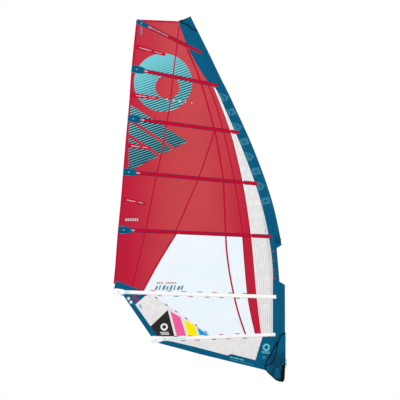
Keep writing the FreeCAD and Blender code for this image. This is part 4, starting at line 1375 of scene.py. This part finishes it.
# Outlined chevrons and bars, printed on the sleeve between the second and the fifth batten.
MARK_TOP, MARK_PITCH, MARK_SETBACK = 3.430, 0.185, 0.012
OUTLINES = ((0.054, 0.0032), (0.039, 0.0028), (0.025, 0.0026))
CHEVRON = ((-1, -1), (0.1, -0.75), (1, 0.1), (0.1, 0.85), (-1, 1))
SLANTED = ((-1, -0.9), (1, -0.5), (1, 0.9), (-1, 0.5))
for k in range(8):
    z = MARK_TOP - MARK_PITCH * k
    middle = 0.5 * (seam_x(z) + profile(z, LUFF)) - MARK_SETBACK
    lean = (profile(z + 0.05, LUFF) - profile(z - 0.05, LUFF)) / 0.1
    for level, (reach, gap) in enumerate(OUTLINES):
        outer, inner = ([(middle + size * (a + lean * b), z + size * b)
                         for a, b in (SLANTED if k % 2 else CHEVRON)]
                        for size in (reach, reach - 2 * gap))
        mark(f"sleeve_mark_{k}_{level}", outer, SOFT_INK, 0.0003, 0.01, [inner])

# Dots and patch beside the boom cut-out.
for k, centre in enumerate(mm([(-125, 1500), (-125, 1445), (-115, 1390), (-115, 1335),
                               (-110, 1275), (-105, 1220), (-100, 1165)])):
    mark(f"boom_height_dot_{k}", circle(centre, 0.0065 if k % 2 else 0.0095, 16), RED_INK, 0.0003,
         0.006)
decal("cutout_patch", mm([(-96, 1606), (-40, 1606), (-36, 1694), (-96, 1694)]),
                   CUTOUT_CLOTH, lift=0.0004, thick=0.0010, cell=0.010)


# ------------------------------------------------------------------ sleeve and head bindings
def sleeve_rim(name, cut, radius, material):
    """A bound edge around the end of a length of sleeve."""
    path = [sleeve_point(cut_height(cut, share), side, share, SKIN / 2) for side, share in COLUMNS]
    return tube(name, path, radius, material)


trims = [sleeve_rim("cutout_binding_upper", lambda x: top_cut(x) + 0.001, 0.0026, BLUE_CLOTH),
         sleeve_rim("cutout_binding_lower", lambda x: low_cut(x) - 0.001, 0.0026, BLUE_CLOTH),
         sleeve_rim("sleeve_foot_binding", lambda x: 0.002, 0.0024, BINDING)]
web_edge = [(-0.041 - 0.035 * share, 0.0, 1.127 + 0.417 * share) for share in even(0.0, 1.0, 12)]
trims.append(tube("web_edge_binding", web_edge, 0.0028, BLUE_CLOTH))
cap_line = smooth_line(mm([(-1262, 4383), (-1254, 4362), (-1220, 4350), (-1182, 4331),
                           (-1166, 4319), (-1152, 4300), (-1125, 4284), (-1096, 4270),
                           (-1068, 4257)]), 0.006)
for side, word in FACES:
    path = [(x, face(x, z, side, 0.0020), z) for x, z in cap_line]
    trims.append(tube(f"head_cap_piping_{word}", path, 0.0072, BINDING))
head_edge = [(x, 0.0, head_cut(x) - 0.004) for x in even(-1.284, -1.144, 24)]
trims.append(tube("head_edge_binding", head_edge, 0.0076, BINDING, flat=1.3))
tab = []
for a in even(0.0, math.pi, 16):
    x, z = -0.046 + 0.022 * math.sin(a), 1.618 + 0.060 * (0.5 - 0.5 * math.cos(a))
    tab.append((x, face(x, z, -1, 0.003 + 0.004 * math.sin(a)), z))
trims.append(tube("cutout_tab", tab, 0.0040, BINDING, flat=1.4))


# ------------------------------------------------------------------ tack fairing
R_OUT, WALL = 0.038, 0.004
BOUND_EDGE, PUFF = 0.016, 0.0024
FOLD_DEEP, FOLD_WIDE = 0.0021, 0.007
RIDGE_HIGH, RIDGE_WIDE, RIDGE_AT = 0.0010, 0.008, 0.016
BINDING_R, PIPING_R, LOOP_R = 0.0072, 0.0062, 0.0028
STRAP_WIDE, STRAP_THICK = 0.042, 0.0040
TAIL_X, TAIL_Y = -0.216, 0.0064
TAIL_FAR = math.hypot(TAIL_X, TAIL_Y)
TOUCH = math.atan2(TAIL_Y, TAIL_X) - math.acos(R_OUT / TAIL_FAR)
ARC = R_OUT * TOUCH
RUN = math.sqrt(TAIL_FAR ** 2 - R_OUT ** 2)
TOUCH_X, TOUCH_Y = R_OUT * math.cos(TOUCH), R_OUT * math.sin(TOUCH)
SIDE_X, SIDE_Y = (TAIL_X - TOUCH_X) / RUN, (TAIL_Y - TOUCH_Y) / RUN


def fairing_s(x):
    """Distance around the fairing from its nose to x."""
    if x > TOUCH_X:
        return R_OUT * math.acos(min(x / R_OUT, 1.0))
    return ARC + (TOUCH_X - x) / -SIDE_X


def fairing_point(s, z, side, offset):
    """A point of the fairing, at a distance around it and an offset from its outer face."""
    if s < ARC:
        a = max(s, 0.0) / R_OUT
        x, y = (R_OUT + offset) * math.cos(a), (R_OUT + offset) * math.sin(a)
    else:
        run = s - ARC
        x = TOUCH_X + SIDE_X * run + offset * math.cos(TOUCH)
        y = TOUCH_Y + SIDE_Y * run + offset * math.sin(TOUCH)
    return x, side * y, z


SIDE_LINE = mm([(37.9, 485), (25, 485), (-25, 450), (-45, 400), (-215, 90), (-215, 30),
                (-185, -5), (-110, -75), (-75, -105), (-25, -120), (4, -120), (18, -92),
                (27, 84), (37.9, 98)])
S_LINE = [(max(fairing_s(x), 0.0004), z) for x, z in SIDE_LINE]
FOLDS = (((0.02, 0.05), (0.18, -0.04)), ((0.01, -0.02), (0.13, -0.085)),
         ((0.05, 0.16), (0.20, 0.06)), ((0.015, 0.28), (0.075, 0.20)),
         ((0.02, 0.13), (0.10, 0.02)))


def puff(s, z):
    """The padding's rise inside the bound edge, with soft folds pressed into it."""
    near = min(edge_distance(s, z, S_LINE) / BOUND_EDGE, 1.0)
    rise = PUFF * near * near * (3 - 2 * near)
    for start, end in FOLDS:
        away, t = from_segment(s, z, start, end)
        fade = 1 - (2 * t - 1) ** 4
        rise -= FOLD_DEEP * math.exp(-(away / FOLD_WIDE) ** 2) * fade
        rise += RIDGE_HIGH * math.exp(-((away - RIDGE_AT) / RIDGE_WIDE) ** 2) * fade
    return rise


def fairing_look():
    """Blue cloth with painted shade on creased facets low down, and painted highlights along the creases."""
    look = Look("fairing_cloth", BLUE, 0.6, CLOTH_GLOSS)
    turned = look.placed(Rotation=(0, 0.6, 0), Scale=(1, 1, 0.6))
    facets = look.add("TexVoronoi", {"Vector": turned, "Scale": 15.0}).outputs["Color"]
    edges = look.add("TexVoronoi", {"Vector": turned, "Scale": 15.0},
                     feature="DISTANCE_TO_EDGE").outputs[0]
    shade = look.add("SeparateColor", {0: facets}).outputs[1]
    lower = look.step(look.z, 0.30, 0.16)
    # Painted shade: random facets low down at the front are darkened, as creases turned from the light would be.
    dark = look.times(look.times(look.step(shade, 0.40, 0.46), lower),
                      look.step(look.x, -0.19, -0.12))
    base = look.mix(look.times(dark, 0.9), BLUE, srgb(4, 62, 86))
    broken = look.step(look.noise(20.0, 2.0), 0.48, 0.60)
    # Painted highlight: the facet edges are lightened along the creases.
    painted_crease_highlight = look.times(look.step(edges, 0.05, 0.01), look.times(lower, broken))
    base = look.mix(look.times(painted_crease_highlight, 0.6), base, srgb(14, 108, 144))
    look.paint(look.mix(look.times(look.grid(0.003, 0.08), 0.2), base, BLUE_DARK), 0.08, 9.0)
    look.rough(0.5, 0.72, 18.0)
    look.weave(0.0011, 0.00012)
    look.bump(look.noise(14.0, 3.0), 0.003, 0.4)
    return look.material


FAIRING_CLOTH = fairing_look()
fairing_flat, fairing_triangles = flat_mesh(S_LINE, [], 0.0085)
rim = [(s, z) for s, z in divided(S_LINE, 0.012) if s > 0.003]
inner_line = smooth_line([(fairing_s(x), z) for x, z in mm([
    (-52, 386), (-62, 330), (-78, 262), (-98, 190), (-118, 138), (-150, 100), (-185, 84),
    (-213, 82)])], 0.008)
for side, word, body, node in ((1, "back", "sail", "tack_fairing_back"),
                               (-1, "flap", "fairing_flap", "tack_fairing_flap")):
    verts = [fairing_point(s, z, side, puff(s, z)) for s, z in fairing_flat]
    verts += [fairing_point(s, z, side, -WALL + 0.0002) for s, z in fairing_flat]
    half = add_piece(f"tack_fairing_{word}_cover", verts,
                     sheet_faces(fairing_flat, fairing_triangles, side < 0), FAIRING_CLOTH, body)
    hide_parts(node)
    path = [fairing_point(s, z, side, 0.0005) for s, z in rim]
    tube(f"fairing_{word}_binding", path, BINDING_R, BINDING, body)
    path = [fairing_point(s, z, side, puff(s, z) + 0.0004) for s, z in inner_line]
    tube(f"fairing_{word}_inner_piping", path, PIPING_R, BINDING, body)

strap_path = []
for share in even(0.0, 1.0, 23):
    z = 0.086 - 0.205 * share
    s = fairing_s(0.006 - 0.010 * share)
    strap_path.append(fairing_point(s, z, -1, puff(s, z) + 0.0026))
a = fairing_s(0.001) / R_OUT
strap("fairing_closing_strap", strap_path, (math.sin(a), math.cos(a), 0.0), STRAP_WIDE,
      STRAP_THICK, "fairing_flap")
hook = [(0.030 + 0.017 * math.sin(a) ** 0.7, -0.014, 0.108 + 0.054 * math.cos(a))
        for a in even(0.0, math.pi, 20)]
tube("fairing_pull_loop", hook, LOOP_R, GREY_CORD, "fairing_flap")

# The webbing behind the fairing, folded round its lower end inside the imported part's box.
web_low, web_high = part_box("tack_webbing")
WEB_THICK, BEND = 0.0025, 0.0045
mid_y = 0.5 * (web_high[1] - web_low[1]) - 0.5 * WEB_THICK
mid_x = 0.5 * (web_low[0] + web_high[0])
bottom = web_low[2] + 0.5 * WEB_THICK
half_loop = [(mid_y, z) for z in even(web_high[2], bottom + BEND, 20)]
half_loop += [(mid_y - BEND + BEND * math.cos(a), bottom + BEND - BEND * math.sin(a))
              for a in even(0.0, math.pi / 2, 4)[1:]]
loop = [(mid_x, -y, z) for y, z in half_loop] + [(mid_x, y, z) for y, z in reversed(half_loop)]
tack_webbing = strap("tack_webbing_loop", loop, (1, 0, 0), web_high[0] - web_low[0], WEB_THICK)
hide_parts("tack_webbing")

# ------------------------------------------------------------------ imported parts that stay
KEPT = {
    "clew_eyelets": EYELET_STEEL, "tensioner_housings": WHITE_PLASTIC,
    "batten_tips": BLACK_PLASTIC, "mast_tip_cup": BLACK_PLASTIC, "tack_pulley_block": STEEL,
    "tack_pulley_axle": STEEL, "mini_battens": ROD,
}
for number in BATTENS:
    KEPT[f"batten_{number}"] = ROD
    KEPT[f"tensioner_screw_{number}"] = STEEL
    KEPT[f"tensioner_slider_{number}"] = BLACK_PLASTIC
for number in (1, 2, 3):
    KEPT[f"tack_sheave_{number}"] = plastic(f"sheave_plastic_{number}", srgb(40, 41, 44), 0.35,
                                            srgb(88, 88, 92))
for node, material in KEPT.items():
    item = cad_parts[node]
    if item.material_slots:
        for place in item.material_slots:
            place.material = material
    else:
        item.data.materials.append(material)


for piece, low, high in ((sleeve_lower, 0.0, 1.110), (sleeve_upper, 1.560, 4.330),
                         (head_cap, 4.331, 4.400)):
    lean = math.dist((profile(low, LUFF), low), (profile(high, LUFF), high))

# ------------------------------------------------------------------ stage, lights, camera
FLOOR_HALF, FLOOR_GAP = 9, 0.004
FLOOR_GREY = (0.86, 0.86, 0.86, 1)
SKY_LIGHT, SKY_SEEN = 0.72, 1.0
VIEW_WIDE, CAMERA_BACK = 5.0, -12.0
floor_look = Look("pale_floor", FLOOR_GREY, 0.8, 0.2)
floor_look.paint(FLOOR_GREY, 0.01, 0.6)
floor_z = CAD_BOX[0][2] - FLOOR_GAP
mesh = bpy.data.meshes.new("floor")
mesh.from_pydata([(x * FLOOR_HALF, y * FLOOR_HALF, floor_z)
                  for x, y in ((-1, -1), (1, -1), (1, 1), (-1, 1))], [], [(0, 1, 2, 3)])
mesh.materials.append(floor_look.material)
floor = bpy.data.objects.new("floor", mesh)
bpy.context.scene.collection.objects.link(floor)


def area_light(name, place, target, size, power):
    """A rectangular light at a place, turned to its target."""
    data = bpy.data.lights.new(name, "AREA")
    data.shape = "RECTANGLE"
    data.size, data.size_y = size
    data.energy = power
    item = bpy.data.objects.new(name, data)
    item.location = place
    item.rotation_euler = (Vector(target) - Vector(place)).to_track_quat("-Z", "Y").to_euler()
    bpy.context.scene.collection.objects.link(item)


middle = [0.5 * (CAD_BOX[0][k] + CAD_BOX[1][k]) for k in range(3)]
area_light("key", (-4.0, -6.0, 5.0), middle, (4.0, 4.0), 150)
area_light("fill", (4.5, -5.0, 2.5), middle, (4.0, 4.0), 70)
area_light("back_fill", (0.0, 6.0, 4.0), middle, (5.0, 4.0), 110)

world = bpy.data.worlds.new("studio")
world.use_nodes = True
tree = world.node_tree
background = tree.nodes["Background"]
path = tree.nodes.new("ShaderNodeLightPath")
blend = tree.nodes.new("ShaderNodeMix")
blend.data_type = "FLOAT"
tree.links.new(path.outputs["Is Camera Ray"], blend.inputs[0])
blend.inputs[2].default_value = SKY_LIGHT
blend.inputs[3].default_value = SKY_SEEN
tree.links.new(blend.outputs[0], background.inputs["Strength"])
background.inputs["Color"].default_value = (1, 1, 1, 1)
bpy.context.scene.world = world

camera_data = bpy.data.cameras.new("camera")
camera_data.type = "ORTHO"
camera_data.ortho_scale = VIEW_WIDE
camera = bpy.data.objects.new("camera", camera_data)
camera.location = (middle[0] + 0.0085, CAMERA_BACK, middle[2] - 0.0125)
camera.rotation_euler = (math.pi / 2, 0, 0)
bpy.context.scene.collection.objects.link(camera)
bpy.context.scene.camera = camera
settings = bpy.context.scene.view_settings
settings.view_transform = "Standard"
settings.look = "None"
settings.exposure = 0.0
settings.gamma = 1.0
